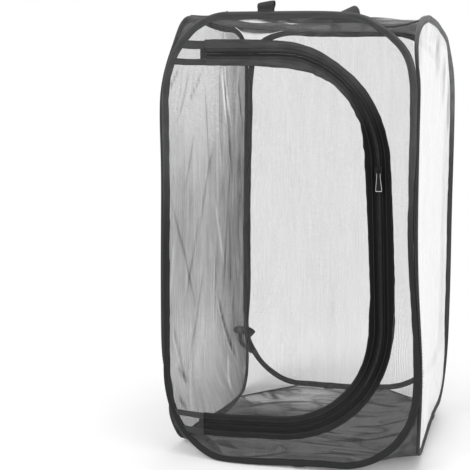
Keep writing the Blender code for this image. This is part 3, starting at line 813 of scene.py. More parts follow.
def bent(side, path, at, inset, out):
    """How a hoop's tape lies: its lip waves, its ends overlap, and two hoops' right runs are twisted."""
    at, inset, out = np.broadcast_arrays(at, inset, out)
    across, up = path_values(path, at)
    length = path[2][-1]
    if side == "right":
        nearby = np.exp(-((up - pinch_height) / pinch_reach) ** 2)
        out = out * (1 - pinch_share * nearby * ease(-across, *pinch_side))
    lip = ease(inset, lip_start, tape_width)
    swell = 1 + joint_swell * ease(at, length - joint_overlap - joint_step, length - joint_overlap)
    from_sleeve = np.minimum(at, length - at) - joint_overlap / 2
    swell = swell + sleeve_swell * ease(-np.abs(from_sleeve), *(-joint_overlap * end for end in sleeve_ends))
    inset = wire_inset + (inset - wire_inset) * (1 + (swell - 1) * (1 - lip))
    out = out * swell
    (wide, wide_size), (high, high_size) = lip_waves
    inset = inset + lip * wide * smooth_noise(at / wide_size, 0.0, seeds[side])
    out = out + lip * high * smooth_noise(at / high_size, 0.0, seeds[side] + 1)
    if side in twisted:
        starts, ends, degrees = twisted[side]
        twist = math.radians(degrees) * ease(up, *starts) * ease(-up, *ends) * ease(across, *twist_side)
        reach, height = inset - wire_inset, out
        inset = wire_inset + reach * np.cos(twist) - height * np.sin(twist)
        out = height * np.cos(twist) - reach * np.sin(twist)
    return inset, out


def lip_line(side):
    """Where a hoop's lip holds the gauze: the hoop's places and normals, and how far in and out it is."""
    path = hoop_path(walls[side][2])
    shown = path[2] < path[2][-1] - joint_overlap
    points, inward, along = (part[shown] for part in path)
    return points, inward, *bent(side, path, along, gauze_inset, 0.0)


def at_turns(turns, points, values):
    """Values of a closed outline's points, at these turns about the middle of the wall."""
    places = np.arctan2(points[:, 1] - cage_height / 2, points[:, 0])
    return np.interp(turns, places, values, period=2 * math.pi)


def lip_shift(side, across, up, edge):
    """How the gauze near a hoop follows its lip where the tape is twisted: across, out and up."""
    points, inward, inset, out = lip_line(side)
    turns = np.arctan2(up - cage_height / 2, across)
    near = 1 - ease(edge, 0, gauze_follow)
    moved = ((inset - gauze_inset) * inward[:, 0], out, (inset - gauze_inset) * inward[:, 1])
    return [near * at_turns(turns, points, values) for values in moved]


def flattened(side, thing):
    """Give a piece of any wall but the front a mesh of its own."""
    if side != "front":
        normal = (0, 1, 0) if side == "back" else (1, 0, 0)
        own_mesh(thing)


def hoop_tone(side, path, at, inset):
    """How pale a hoop's tape is: its crest paler with wear and a painted highlight, painted light on the
    upper parts of two hoops, and painted shade on the front hoop's lower part.
    """
    across, up = path_values(path, at)
    # The crest is paler: wear and a painted highlight
    tone = 1 - crest_wear_and_highlight + crest_wear_and_highlight * ease(-inset, -lip_start, 0)
    tone = tone * (1 + waves(at, inset, seeds[side] + 2, tape_mottle))
    if side == "front":
        # Painted shade darkens the front hoop's lower part
        darkest, change, fades = front_shade_tones
        return tone * (darkest - change * ease(-up, *fades))
    if side in hoop_light:
        added, rises, sides = hoop_light[side]
        return tone + added * ease(up, *rises) * ease(across, *sides)
    return tone


def make_hoop(side):
    """A hoop's folded tape, and the row of stitches along its lip on both faces."""
    path = hoop_path(walls[side][2])
    section = tape_section()
    at = path[2][:, None]
    grid = on_path(side, path, at, *bent(side, path, at, section[:, 0], section[:, 1]))
    tone = hoop_tone(side, path, at, section[:, 0])
    mesh = grid_mesh(f"{side}_tape", grid, section_length(section), at, wrap=True, tone=tone)
    nodes = [f"{side}_hoop_binding", f"{side}_spring_wire", f"{side}_wire_sleeve"]
    tape = piece(mesh, tape_cloth, f"{side}_wall", "binding_tape", *nodes)
    starts = np.arange(stitch_pitch, path[2][-1] - stitch_pitch, stitch_pitch)
    rows = [[on_path(side, path, place, *bent(side, path, place, seam_inset, face * seam_lift))
             for place in (starts, starts + stitch_length)] for face in (1, -1)]
    facing = in_wall(side, 0.0, 1.0, 0.0) - in_wall(side, 0.0, 0.0, 0.0)
    stitches = sewn(f"{side}_stitches", rows, f"{side}_wall", "binding_tape", facing)
    for thing in (tape, stitches):
        flattened(side, thing)
    return [tape, stitches]


def wall_heights(inset, middle_rows, corner_rows):
    """Heights of a wall's rows of mesh, closer together round its corners."""
    turns = np.radians(np.linspace(0, 90, corner_rows))
    foot = foot_corner[1] - (foot_corner[1] - inset) * np.cos(turns)
    top = cage_height - top_corner[1] + (top_corner[1] - inset) * np.sin(turns)
    return np.concatenate((foot, np.linspace(foot[-1], top[0], middle_rows)[1:-1], top))


def wall_area(half, inset):
    heights = np.linspace(inset, cage_height - inset, 600)
    return float(2 * np.mean(half_width(half, heights, inset)) * (heights[-1] - heights[0]))


def area_of_rows(widths, places):
    return float(np.sum((widths[1:] + widths[:-1]) / 2 * np.diff(places)))


def left_cover_and_shade(across, up):
    """The left gauze is thickest towards the back, partly where it lies in folds and partly as painted shade,
    and thinner at its top.
    """
    below_top = ease(-up, *left_top_fades)
    (middle, added), (rear, rear_added), (gap, gap_height, gap_reach) = left_covers
    middle = middle + added * below_top - gap * np.exp(-((up - gap_height) / gap_reach) ** 2)
    return middle + (rear + rear_added * below_top - middle) * ease(-across, *left_rear_fades)


def make_wall_gauze(side, material, shade, hems):
    """A wall's gauze, held all round by the hoop's lip, with soft waves, fine folds and sharper creases."""
    half = walls[side][2]
    up = wall_heights(gauze_inset, *wall_rows)[:, None]
    width = half_width(half, up, gauze_inset)
    across = np.linspace(-1, 1, wall_columns)[None, :] * width
    edge = np.minimum(width - np.abs(across), np.minimum(up - gauze_inset, cage_height - gauze_inset - up))
    seed = seeds[side] + 5
    folds = waves(across, up, seed, *wall_folds)
    out = ease(edge, 0.0, wall_fold_rim) * (folds + creased(across, up, gauze_creases.get(side, ())))
    slope = np.gradient(out, axis=1) / np.gradient(across, axis=1)
    usual = left_cover_and_shade(across, up) if side == "left" else wall_density[side]
    lines = line_strength * creased(across, up, gauze_lines.get(side, ()))
    thick = np.clip(thickened(usual, slope, slope_gains["wall"]) + lines, 0, 1)
    darker_patch = sum(patch(across, up, *place) for place in gauze_darker_patches.get(side, ()))
    mottle = 0.5 + 0.5 * smooth_noise(across / 0.006, up / 0.03, seed + 3)
    # The right wall's painted glare is darker in soft patches
    shade = shade * (1 - np.clip(darker_patch, 0, 1) * mottle)
    moved = lip_shift(side, across, up, edge)
    grid = in_wall(side, across + moved[0], out + moved[1], up + moved[2])
    mesh = grid_mesh(f"{side}_gauze_cloth", grid, across, up, tone=shade, density=thick)
    cloth = piece(mesh, material, f"{side}_wall", "gauze", f"{side}_gauze")
    2 * half
    wall_area(half, gauze_inset)
    flattened(side, cloth)


def make_front_gauze(hems):
    """The front wall's gauze, from the hoop to the door's zip and the door's hinge line."""
    turns = np.linspace(-math.pi, math.pi, 721)[:-1]
    points, inward, inset, out = lip_line("front")
    held = points + inset[:, None] * inward
    zip_line = zip_path()
    hinge_line = np.column_stack((np.full(200, zip_left), np.linspace(zip_top, zip_bottom, 200)))
    cut = np.vstack((zip_line[0] - gauze_grip * zip_line[1], hinge_line))
    outer, inner = (np.column_stack([at_turns(turns, line, line[:, axis]) for axis in (0, 1)])
                    for line in (held, cut))
    share = np.linspace(0, 1, 18)[None, :]
    across = inner[:, :1] + share * (outer[:, :1] - inner[:, :1])
    up = inner[:, 1:] + share * (outer[:, 1:] - inner[:, 1:])
    free = ease(share, 0.0, 0.3) * ease(-share, -1.0, -0.7)
    folds = waves(across, up, front_seed, *front_folds)
    slope = np.gradient(folds, axis=1) / (np.gradient(across, axis=1) + tiny)
    height = free * folds + ease(share, 0.3, 1.0) * at_turns(turns, points, out)[:, None]
    grid = in_wall("front", across, height, up)
    mesh = grid_mesh("front_gauze_cloth", grid, across, up, ring=True, tone=0.5,
                     density=thickened(front_density, free * slope, slope_gains["front"]))
    cloth = piece(mesh, painted_light_gauze, "front_wall", "gauze", "front_gauze")


def make_door_gauze():
    """The door's gauze, from its hinge line to the zip."""
    path = zip_path()
    points = path[0] + gauze_grip * path[1]
    low, high, rim = points[0, 1] + tiny, points[-1, 1] - tiny, 0.006
    up = np.concatenate((np.linspace(low, low + rim, 7)[:-1], np.linspace(low + rim, high - rim, 96),
                         np.linspace(high - rim, high, 7)[1:]))[:, None]
    edge = np.interp(up, points[:, 1], points[:, 0])
    across = zip_left + np.linspace(0, 1, 110)[None, :] * (edge - zip_left)
    free = ease(np.minimum(across - zip_left, edge - across), 0, fold_rim)
    free = free * ease(np.minimum(up - low, high - up), 0, fold_rim)
    folds = waves(across, up, door_seed, *door_folds)
    slope = np.gradient(folds, axis=1) / np.gradient(across, axis=1)
    grid = in_wall("front", across, free * folds, up)
    mesh = grid_mesh("door_gauze_cloth", grid, across, up, tone=0.5,
                     density=thickened(front_density, free * slope, slope_gains["front"]))
    cloth = piece(mesh, painted_light_gauze, "door", "gauze", "door_gauze")
    area_of_rows((edge - zip_left)[:, 0], up[:, 0])


def strip(name, path, reach, height, material, body, slot, replaced, tone=1.0):
    """A strip along the zip's line with a closed section; reach is away from the line, towards the door."""
    at = path[2][:, None]
    grid = on_path("front", path, at, reach, height)
    middle = len(reach) // 2
    section = section_length(np.column_stack((reach[middle], height[middle])))
    return piece(grid_mesh(name, grid, section, at, wrap=True, tone=tone), material, body, slot, replaced)


def run_painted_light(path):
    """The zip is painted paler along its top run and its foot, painted light, and darkest down its side,
    painted shade.
    """
    up = path[0][:, 1:]
    return 0.05 + 0.95 * ease(up, 0.44, 0.53) + 0.30 * ease(-up, -0.16, -0.08)


def make_zip_tape(side, sign):
    """One of the zip's two woven tapes, with the seam that holds its coil."""
    path = zip_path(start=zip_starts[side])
    section = np.array(tape_section_points)
    section = np.vstack((section, section[::-1] * (1, -1)))
    at = path[2][:, None]
    lift = 0.00025 * smooth_noise(at / 0.03, 0.0, 81 + sign)
    tape = strip(f"{side}_tape_strip", path, -sign * section[:, 0] * np.ones_like(at), section[:, 1] + lift,
                 zip_cloth, zip_bodies[side], "zip_tape", f"{side}_zip_tape", run_painted_light(path))
    pitch, length, radius = coil_stitch
    starts = np.arange(0.004, path[2][-1] - 0.004, pitch)
    row = [on_path("front", path, place, -sign * coil_seam, coil_seam_lift)
           for place in (starts, starts + length)]
    return [tape, sewn(f"{side}_coil_stitches", [row], zip_bodies[side], "zip_tape", radius=radius)]


def make_coil(side, sign):
    """One side of the zip's nylon coil, its turns half a pitch away from the other side's."""
    path = zip_path(start=zip_starts[side] + coil_margin)
    turns = int(path[2][-1] / coil_pitch)
    angle = np.arange(turns * coil_turn_points)[:, None] * 2 * math.pi / coil_turn_points
    lead = 0 if sign > 0 else coil_pitch / 2
    at = np.clip(angle / (2 * math.pi) * coil_pitch + lead, 0, path[2][-1])
    ring = np.linspace(0, 2 * math.pi, 6)[None, :-1]
    reach = coil_middle + (coil_half_width + coil_wire * np.cos(ring)) * np.cos(angle)
    rise = coil_lift + (coil_half_height + coil_wire * np.cos(ring)) * np.sin(angle)
    ahead = coil_wire * np.sin(ring) * np.ones_like(angle)
    grid = on_path("front", path, at, -sign * reach, rise, ahead)
    mesh = grid_mesh(f"{side}_coil_turns", grid, np.zeros_like(ring), at, wrap=True)
    return piece(mesh, coil_nylon, zip_bodies[side], "zip_coil", f"{side}_zip_coil")


def make_edge_binding(side, sign):
    """The folded tape between a zip tape and the gauze, its free edge gathered where the zip curves."""
    path = zip_path(binding_step, start=zip_starts[side])
    at = path[2][:, None]
    width = binding_widths[side]
    section = mirrored((*binding_edge, (0.4 * width, 0.0012), (0.7 * width, 0.0010),
                        (width - 0.0018, 0.0010), (width - 0.0012, 0.0007), (width - 0.0004, 0.0008),
                        (width, 0.0004)))
    free = ease(section[:, 0], 0.3 * width, width)
    up = path_values(path, at)[1]
    gather = least_gather + binding_gather[side] * ease(up, *gather_starts) * ease(-up, *gather_ends)
    gathers = waves(at, section[:, 0], 91 + sign, (1, *gather_size))

    def fullness(place):
        return np.interp(place / path[2][-1], *zip(*binding_fullness[side]))

    reach = binding_start + section[:, 0] * fullness(at)
    reach = reach + free * gather * gather_reach * smooth_noise(at / 0.0075, 0.0, 95 + sign)
    height = section[:, 1] + free * gather * gather_height * gathers
    # The gathers' raised folds are painted paler and their hollows darker: painted light and shade
    tone = run_painted_light(path) * (1 + 0.35 * gather * free * gathers)
    binding = strip(f"{side}_binding", path, -sign * reach, height, tape_dark, zip_bodies[side],
                    "binding_tape", f"{side}_edge_binding", tone)
    starts = np.arange(0.002, path[2][-1] - 0.004, stitch_pitch)
    rows = []
    for inset in (0.0019, width - 0.0013):
        column = int(np.argmin(np.abs(section[:, 0] - inset) + (section[:, 1] < 0)))
        rows.append([on_path("front", path, place, -sign * (binding_start + inset * fullness(place)),
                             np.interp(place, path[2], height[:, column]) + 0.0001)
                     for place in (starts, starts + stitch_length)])
    return [binding, sewn(f"{side}_binding_stitches", rows, zip_bodies[side], "binding_tape")]


def make_tail(name, low, high):
    """The end of a binding, sewn on the gauze from the zip's end to the hoop."""
    half = np.array((*tail_edge, (0.5 * (high - low), 0.0011)))
    rest = half[::-1][1:]
    top = np.vstack((half, np.column_stack((high - low - rest[:, 0], rest[:, 1]))))
    section = np.vstack((top, top[::-1][1:-1] * (1, -0.2)))
    up = low + section[:, 0]
    start = zip_left + 0.0006
    across = start + np.linspace(0, 1, 24)[:, None] * (-half_width(front_half, up, tail_inset) - start)
    rumple = 0.0005 * smooth_noise(across / 0.012, up / 0.01, 101) * (section[:, 1] > 0)
    grid = in_wall("front", across, 0.0004 + section[:, 1] + rumple, np.broadcast_to(up, across.shape))
    mesh = grid_mesh(f"{name}_tape", grid, section_length(section), -across, wrap=True, tone=1.1)
    tail = piece(mesh, tape_cloth, "front_wall", "binding_tape", name)
    rows = []
    for height in (low + 0.0016, high - 0.0016):
        starts = np.arange(zip_left - 0.002, -half_width(front_half, height, tail_inset), -stitch_pitch)
        rows.append([in_wall("front", place, 0.0016, height) for place in (starts, starts - stitch_length)])
    return [tail, sewn(f"{name}_stitches", rows, "front_wall", "binding_tape")]


def make_tack(name, height):
    """The zigzag of thread that closes an end of the zip."""
    rungs = height + np.arange(-tape_reach, tape_reach, tack_pitch)
    starts, ends = (in_wall("front", np.full_like(rungs, zip_left + aside), 0.0012, rungs + rise)
                    for aside, rise in zip(tack_sides, (0, 0.0004)))
    mesh = bars_mesh(f"{name}_thread", starts, ends, (0, -1, 0), 0.0005)
    return piece(mesh, zip_thread, "front_wall", "zip_tape", name)


def squashed(thing):
    """Give a piece of the roof or the floor a mesh of its own."""
    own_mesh(thing)


def level_shift(across, depth, height):
    """How the roof or the floor follows the settled hoops round it."""
    across, depth = np.broadcast_arrays(across, depth)
    total = np.zeros((*across.shape, 3))
    for side, (turn, _, _) in walls.items():
        cosine, sine = round(math.cos(math.radians(turn))), round(math.sin(math.radians(turn)))
        inward = hinge - (sine * across - cosine * depth)
        moved = shifts(settled[side], cosine * across + sine * depth, height)
        moved = moved * (1 - ease(inward, 0, level_rim))
        total += np.stack((cosine * moved[0] + sine * moved[1], sine * moved[0] - cosine * moved[1],
                           moved[2]), axis=-1)
    return total


def corner_share(across, depth, run, reach):
    """How much a place shares in the sag of the front right cut corner."""
    along = np.clip((across - run) / (reach - run), 0, 1)
    beyond = (across - depth - reach - run) / math.sqrt(2)
    return 4 * along * (1 - along) * np.exp(-(beyond / 0.03) ** 2)


def roof_light(across, depth, thick, tone):
    """The roof's front edge lies double, with painted shade on it, with two gaps, and its front right corner
    is thin and paler.
    """
    edge = ease(-depth, *roof_edge_fades)
    thick = thick + (roof_edge_cover - thick) * edge
    gaps = np.maximum(*(patch(across, depth, *gap) for gap in roof_gaps))
    corner = ease(across, *roof_corner_across) * ease(-depth, *roof_corner_depths)
    thick = thick * (1 - roof_gap_share * np.maximum(gaps, roof_corner_share * corner))
    # Painted shade darkens the roof's front edge
    return thick, np.maximum(tone * (1 - roof_edge_shade * edge), corner)


def floor_light(across, depth, thick, tone):
    """The floor's cloth is single and pale at its back left, and darker in its folds, painted shade."""
    pale = (0.45 * ease(depth, 0.0, 0.06) + 0.55 * ease(depth, 0.055, 0.075)) * ease(-across, -0.05, 0.04)
    uneven = 0.5 + 0.5 * smooth_noise(across / 0.05, depth / 0.018, 161)
    lines = 1.8 * creased(across, depth, floor_creases)
    swell = smooth_noise(across / 0.07 + depth / 0.09, depth / 0.024, 163)
    ripple = smooth_noise(across / 0.05 - depth / 0.06, depth / 0.014, 164)
    lines = lines + 0.75 * np.exp(-(swell / 0.07) ** 2) + 0.5 * np.exp(-(ripple / 0.10) ** 2)
    thick = np.clip((thick - 0.05 * uneven) * (1 - 0.66 * pale) + 0.6 * lines, 0, 1)
    # Painted shade darkens the cloth along its creases and folds
    return thick, (tone + 0.5 * uneven) * (1 - np.clip(lines, 0, 1)) + 0.5 * pale


def make_level_gauze(name, height, sign, seed):
    """The roof or the floor, with its cut corners, wrinkled between the four hoops."""
    reach = hinge + 0.0005
    run = hinge - (top_corner if sign > 0 else foot_corner)[0]
    depth = np.concatenate((np.linspace(-reach, -run, 40)[:-1], np.linspace(-run, run, 70),
                            np.linspace(run, reach, 40)[1:]))[:, None]
    half = reach - np.clip((np.abs(depth) - run) / (reach - run), 0, 1) * (reach - run)
    across = np.linspace(-1, 1, 90)[None, :] * half
    free = ease(np.minimum(half - np.abs(across), reach - np.abs(depth)), 0, fold_rim)
    folds = 0.0042 * smooth_noise(across / 0.11 + 0.4 * depth / 0.1, depth / 0.026, seed)
    folds = folds + 0.0017 * smooth_noise(across / 0.06, depth / 0.010, seed + 1)
    slack = -level_sag[name] * (1 - (across / reach) ** 2) * (1 - (depth / reach) ** 2)
    up = height - sign * 0.0006 + free * folds + slack
    if sign < 0:
        up = np.maximum(up, level_lowest)
    slope = np.gradient(up, axis=0) / np.gradient(np.broadcast_to(depth, up.shape), axis=0)
    thick = np.clip(thickened(level_density, slope, slope_gains["level"], 0.4), 0, 1)
    # The roof's and floor's tone is painted lighter or darker by the slope of their folds: painted light and
    # shade
    thick, tone = (roof_light if sign > 0 else floor_light)(
        across, depth, thick, 0.7 - 1.3 * np.clip(slope, -0.35, 0.35))
    if sign > 0:
        up = up + front_right_sag * corner_share(across, depth, run, reach)
    grid = np.stack(np.broadcast_arrays(across, depth, up), axis=-1) + level_shift(across, depth, height)
    grid[:, :, 2] = np.clip(grid[:, :, 2], level_lowest, None)
    mesh = grid_mesh(f"{name}_cloth", grid, across, depth, tone=np.clip(tone, 0, 1), density=thick)
    cloth = piece(mesh, level_gauze, "front_wall", "gauze", name)
    2 * reach
    2 * reach
    area_of_rows(2 * half[:, 0], depth[:, 0])
    squashed(cloth)


def gusset_edges(side_x, side_y, top, turns):
    """Where a corner's gauze meets the two hoops, at turns round their corners."""
    across, rise = top_corner if top else foot_corner
    out = side_x * side_y * (hinge - across + across * np.cos(turns))
    up = rise * (1 - np.sin(turns))
    up = cage_height - up if top else up
    return (in_wall("front" if side_y < 0 else "back", -out, gusset_setback, up),
            in_wall("left" if side_x < 0 else "right", out, gusset_setback, up))


def make_gusset(name, side_x, side_y, top):
    """A corner of the roof or the floor, stretched between two hoops, with its hem along the cut corner."""
    turns = np.radians(np.linspace(10, 89.6, 40))
    front, side = gusset_edges(side_x, side_y, top, turns)
    degrees = np.degrees(turns)[:, None]
    part = np.linspace(0, 1, 26)[None, :]
    share = part[:, :, None]
    middle = 4 * share * (1 - share)
    grid = front[:, None] * (1 - share) + side[:, None] * share
    inward = np.array((-side_x, -side_y, -0.6 if top else 0.6)) / 1.5
    outward = np.array((side_x, side_y, 0)) / math.sqrt(2)
    size = np.linalg.norm(front - side, axis=1)[:, None]
    ripple = 0.0012 * smooth_noise(part * 3, degrees / 7, 111 + len(name))
    ripple = ripple * np.minimum(1, 12 * part * (1 - part))
    grid = grid + (0.05 * size * part * (1 - part) * 4 + ripple)[:, :, None] * inward
    arch = middle * np.sin(degrees[:, :, None] / 90 * math.pi) ** 0.5 * ease(degrees, 24, 52)[:, :, None]
    grid = grid + gusset_bulge.get(name, 0) * arch * outward
    if name == "roof_gusset_front_right":
        sunk = middle * ease(degrees, 30, 88)[:, :, None]
        grid = grid + front_right_sag * sunk * np.array((0, 0, 1))
    across = part * size
    # The front left gussets, between two hoops, are painted dark: painted shade
    usual = 0.15 if name.endswith("front_left") else 0.6
    shade = usual + 0.3 * smooth_noise(part * 4, degrees / 6, 117 + len(name))
    above = ease(degrees, 62, 70) if name in gusset_bulge else 0.0
    cover = gusset_density[name] + (0.96 - gusset_density[name]) * above
    mesh = grid_mesh(f"{name}_cloth", grid, across, degrees * 0.0015, tone=shade * (1 - 0.5 * above),
                     density=cover)
    cloth = piece(mesh, level_gauze, "front_wall", "gauze", name)
    hem = piece(tube_mesh(f"{name}_hem", grid[-1], 0.0011), tape_cloth, "front_wall", "binding_tape")
    corner = top_corner if top else foot_corner
    length, width = math.hypot(*corner), math.sqrt(2) * corner[0]
    area = max(gusset_least_area * width * length, min(mesh_area(grid), width * length))
    for thing in (cloth, hem):
        squashed(thing)


def mesh_area(grid):
    first = grid[1:, 1:] - grid[:-1, :-1]
    second = grid[1:, :-1] - grid[:-1, 1:]
    return float(0.5 * np.linalg.norm(np.cross(first, second), axis=-1).sum())


def tube_mesh(name, line, radius, sides=8):
    """A round cord along a line of points."""
    ahead = directions(np.gradient(line, axis=0))
    aside = directions(np.cross(ahead, (0.31, 0.22, 0.93)))
    above = np.cross(aside, ahead)
    turns = np.linspace(0, 2 * math.pi, sides + 1)[None, :-1, None]
    grid = line[:, None] + radius * (np.cos(turns) * aside[:, None] + np.sin(turns) * above[:, None])
    return grid_mesh(name, grid, turns[0, :, 0] * np.max(radius), section_length(line)[:, None], wrap=True)


def webbing(name, line, width_way, size, body, *replaced, tone=1.0):
    """Flat webbing along a line of points, its width lying along a direction for each point."""
    ahead = directions(np.gradient(line, axis=0))
    way = np.broadcast_to(width_way, line.shape)
    way = directions(way - (way * ahead).sum(axis=1)[:, None] * ahead)
    face = np.cross(ahead, way)
    half = np.linspace(-0.5, 0.5, 9)
    bulge = 0.5 - 0.5 * np.abs(2 * half) ** 6 + 0.18
    upper = np.column_stack((half, bulge)) * size
    section = np.vstack((upper, upper[::-1] * (1, -1)))
    grid = line[:, None] + section[None, :, :1] * way[:, None] + section[None, :, 1:] * face[:, None]
    mesh = grid_mesh(name, grid, section_length(section), section_length(line)[:, None], wrap=True, tone=tone)
    return piece(mesh, webbing_cloth, body, "webbing", *replaced)


def smooth_line(points, count):
    """A smooth line through points, as a Catmull-Rom curve."""
    points = np.asarray(points, float)
    points = np.vstack((2 * points[0] - points[1], points, 2 * points[-1] - points[-2]))
    place = np.linspace(0, len(points) - 3 - tiny, count)
    span = place.astype(int)
    part = (place - span)[:, None]
    before, first, second, after = (points[span + step] for step in range(4))
    return 0.5 * (2 * first + (second - before) * part
                  + (2 * before - 5 * first + 4 * second - after) * part ** 2
                  + (3 * first - before - 3 * second + after) * part ** 3)


def both_sides(half, middle):
    """An outline from its left or right half and its middle point."""
    return [*half, middle, *((-aside, up) for aside, up in half[::-1])]


def make_front_loop():
    """The front hanging loop, sewn upright into the hoop and a little taller on its right."""
    low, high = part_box("front_hanging_loop")
    middle = (low + high) / 2
    width = high.x - low.x
    top = high.z - 0.0045
    foot = cage_height - loop_depth_in
    swell = (high.y - low.y) / 2 - 0.0009
    outline = both_sides([(-0.0012, foot), (-0.0014, foot + 0.3 * (top - foot)), (-swell, top - 0.0052),
                          (-0.6 * swell, top - 0.0015)], (0, top - 0.0008))
    line = smooth_line([(middle.x, middle.y + depth, up) for depth, up in outline], 60)
    made = webbing("front_loop_webbing", line, (1, 0, 0), (width, loop_thickness), "front_loop",
                   "front_hanging_loop", tone=0.6)
    shares = [(vertex.co.x - middle.x) / width for vertex in made.data.vertices]
    for vertex, share in zip(made.data.vertices, shares):
        rise = max(0.0, (vertex.co.z - foot) / (top - foot))
        vertex.co.z += 0.0034 * share * rise
        vertex.co.x += 0.0012 * rise


def make_back_loop():
    """The back hanging loop, which has flopped over to one side and twisted."""
    low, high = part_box("back_hanging_loop")
    middle = (low + high) / 2
    foot = cage_height - loop_depth_in
    height = high.z - 0.0006 - foot
    line = smooth_line([(middle.x + across, middle.y + depth, foot + share * height)
                        for across, depth, share in back_loop_line], 70)
    turn = np.linspace(0.15, 1.45, 70)[:, None]
    way = np.cos(turn) * np.array((0.55, -0.1, 0.8)) + np.sin(turn) * np.array((0.0, 1.0, 0.1))
    webbing("back_loop_webbing", line, way, (back_loop_width, loop_thickness), "back_loop",
            "back_hanging_loop", tone=1.3)


def make_strap():
    """The closure strap: its round-ended tongue with the press stud, its stay, and the square of stitches at
    its root.
    """
    low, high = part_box("closure_strap")
    cap_low, cap_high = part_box("snap_cap")
    stud = (cap_low + cap_high) / 2 + Vector(strap_drop)
    face = high.y - 0.0007
    root = high.x - 0.0035
    end = low.x - 0.002
    at_root, at_stud = np.array((root, face, stud.z)), np.array((stud.x, face, stud.z))
    line = smooth_line([*(at_root + tongue_root), at_stud, (end, face, stud.z)], 60)
    tongue = webbing("strap_tongue", line, (0, 0, 1), tongue_size, "closure_strap", "closure_strap", tone=0.3)
    for vertex in tongue.data.vertices:
        past = min(1.0, max(0.0, (stud.x - vertex.co.x) / (stud.x - end)))
        if past:
            vertex.co.z = stud.z + (vertex.co.z - stud.z) * math.sqrt(1.001 - past ** 2)
    stay = smooth_line([*(at_stud + stay_at_stud), *(at_root + stay_at_root)], 50)
    webbing("strap_stay", stay, (0.7, 0, 0.7), stay_size, "closure_strap", tone=0.3)
    row = sew_box(root - 0.004, face + 0.0009, stud.z, *sewn_size)
    sewn("strap_stitches", [row], "closure_strap", "webbing", (0, 1, 0))


def sew_box(x, y, z, width, height):
    """The starts and ends of stitches in a square with a cross in it."""
    corners = np.array([(x + aside * width / 2, y, z + above * height / 2)
                        for aside, above in ((-1, -1), (1, -1), (1, 1), (-1, 1))])
    starts, ends = [], []
    for first, second in ((0, 1), (1, 2), (2, 3), (3, 0), (0, 2), (1, 3)):
        line = corners[second] - corners[first]
        count = max(2, int(np.linalg.norm(line) / sewn_step))
        for step in range(count):
            starts.append(corners[first] + line * (step + 0.12) / count)
            ends.append(corners[first] + line * (step + 0.88) / count)
    return np.array(starts), np.array(ends)


def make_seam(depth_name, side_y, side_name, side_x):
    """The cord that closes an upright edge, with its overcast thread, on the hinge line."""
    body = f"{depth_name}_wall"
    up = np.linspace(foot_corner[1] * 0.98, cage_height - top_corner[1] * 0.96, 150)
    wobble = 0.0002 * smooth_noise(up / 0.02, 0.0, 131 + side_x)
    line = in_wall(depth_name, -side_x * side_y * (hinge + wobble), -tape_depth / 2 + wobble, up)
    end = ease(np.minimum(up - up[0], up[-1] - up), 0, 0.02)[:, None, None]
    mesh = tube_mesh(f"{depth_name}_{side_name}_seam", line, seam_radius * (0.35 + 0.65 * end))
    piece(mesh, tape_cloth, body, "binding_tape")
    at = np.arange(up[0] + 0.01, up[-1] - 0.01, overcast_pitch)
    outward = np.array((side_x, side_y, 0)) / math.sqrt(2)
    aside = np.array((-side_y, side_x, 0)) / math.sqrt(2)
    lift = in_wall(depth_name, -side_x * side_y * hinge, -tape_depth / 2, at)
    lift = lift + outward * (seam_radius + overcast_lift)
    reach = aside * overcast_reach + (0, 0, overcast_slant)
    sewn(f"{depth_name}_{side_name}_overcast", [(lift - reach, lift + reach)], body, "binding_tape",
         outward, overcast_radius)


def round_edges(node, material, width):
    """Give a solid of the frame its material and softly rounded edges."""
    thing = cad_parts[node]
    thing.data.materials.clear()
    thing.data.materials.append(material)
    rounder = thing.modifiers.new("edges", "BEVEL")
    rounder.width = width
    rounder.segments = 2
    rounder.limit_method = "ANGLE"


def make_pull_rim():
    """The raised rim round the pull, in bright metal that paints the light its edges catch: a painted
    highlight.
    """
    low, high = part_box("zip_pull")
    lean = math.atan(zip_lean_share)
    neck, end, length = 0.0023, 0.0038, high.z - low.z - 0.0007
    shape = both_sides([(neck, -0.0012), (neck, -0.006), (end, -length + 0.0018),
                        (end - 0.0012, -length + 0.0005)], (0, -length + 0.0003))
    middle = (low + high) / 2
    line = smooth_line([(middle.x + across * math.cos(lean) - (drop + length / 2) * math.sin(lean),
                         low.y - 0.0001, middle.z + length / 2 + drop)
                        for across, drop in shape], 90)
    piece(tube_mesh("pull_rim", line, 0.00042), rim_highlight_metal, "pull", "zip_metal")


make_camera()
make_world()
make_floor()
for lamp_name, lamp_settings in lamps.items():
    make_lamp(lamp_name, *lamp_settings)

tape_cloth = woven_cloth("binding_tape", grey(0.017, 0.02), grey(0.34, 0.01), 0.0010, sheen=0.08, usual=0.2)
zip_cloth = woven_cloth("zip_tape", grey(0.006), grey(0.100), 0.0011, "twill", 0.85, 0.0, gloss=0.06)
tape_dark = woven_cloth("zip_binding", grey(0.006), grey(0.120), 0.0010, sheen=0.0, gloss=0.06)
stitch_thread = woven_cloth("sewing_thread", grey(0.02), grey(0.075), 0.0008, "rib", 0.6)
zip_thread = woven_cloth("tack_thread", grey(0.012), grey(0.05), 0.0008, "rib", 0.6)
webbing_cloth = woven_cloth("webbing", grey(0.018), grey(0.085), 0.0016, "rib", 0.8, 0.06)
coil_nylon = moulded("zip_coil", 0.010, 0.55)
slider_metal = moulded("zip_metal", 0.022, 0.33, 1.0)
# The pull's rim is bright metal, a painted highlight on its edges
rim_highlight_metal = moulded("pull_rim", 0.45, 0.3, 1.0)
snap_steel = moulded("snap_steel", 0.42, 0.28, 1.0)
# The front, back and door gauze: the black net's threads painted pale grey for the light they scatter,
# painted light
painted_light_gauze = gauze_cloth("painted_light_gauze", grey(0.10), grey(0.30), 0.18)
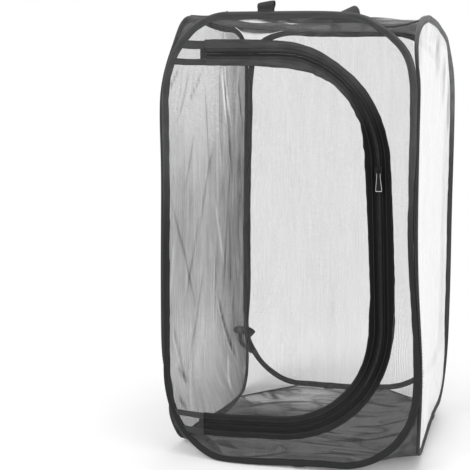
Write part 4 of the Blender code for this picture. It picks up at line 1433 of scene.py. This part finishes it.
side_gauze = gauze_cloth("side_gauze", grey(0.012), grey(0.055), 0.16, pitch=0.0013)
# The right wall's gauze: the black net painted as a pale veil, painted glare
painted_glare_gauze = gauze_cloth("painted_glare_gauze", grey(0.40), grey(0.97), 0.08, least=0.92)
level_gauze = gauze_cloth("level_gauze", grey(0.005), grey(0.14), 0.03, least=0.75)

hoop_pieces = {side: make_hoop(side) for side in ("front", "left", "right", "back")}
for side, cloth_and_shade in (("left", (side_gauze, 0.8)), ("right", (painted_glare_gauze, 1.0)),
                              ("back", (painted_light_gauze, 0.5))):
    make_wall_gauze(side, *cloth_and_shade, hoop_pieces[side])
zip_pieces = {side: make_zip_tape(side, sign) + make_edge_binding(side, sign) + [make_coil(side, sign)]
              for side, sign in (("frame", 1), ("door", -1))}
near = binding_start
tails = [thing for name, low, high in (
    ("upper_tail_outer", zip_top + near - 0.0010, zip_top + near + 0.0100),
    ("upper_tail_inner", zip_top - near - 0.0084, zip_top - near),
    ("lower_tail_outer", zip_bottom - near - 0.0100, zip_bottom - near),
    ("lower_tail_inner", zip_bottom + near, zip_bottom + near + 0.0080),
) for thing in make_tail(name, low, high)]
tacks = [make_tack("upper_zip_tack", zip_top), make_tack("lower_zip_tack", zip_bottom)]
make_front_gauze(hoop_pieces["front"] + zip_pieces["frame"] + tails + tacks)
make_door_gauze()
make_level_gauze("roof_gauze", cage_height, 1, 141)
make_level_gauze("floor_gauze", 0.0, -1, 151)
corners = [(depth_name, side_y, side_name, side_x) for depth_name, side_y in (("front", -1), ("back", 1))
           for side_name, side_x in (("left", -1), ("right", 1))]
for level in ("roof", "floor"):
    for depth_name, side_y, side_name, side_x in corners:
        make_gusset(f"{level}_gusset_{depth_name}_{side_name}", side_x, side_y, level == "roof")
make_front_loop()
make_back_loop()
make_strap()
for corner in corners:
    make_seam(*corner)
make_pull_rim()
for node, material, width in (("zip_slider", slider_metal, 0.00025), ("zip_pull", slider_metal, 0.0002),
                              ("snap_cap", snap_steel, 0.0002), ("snap_ring", snap_steel, 0.0001)):
    round_edges(node, material, width)

bpy.context.scene.view_settings.view_transform = "Standard"
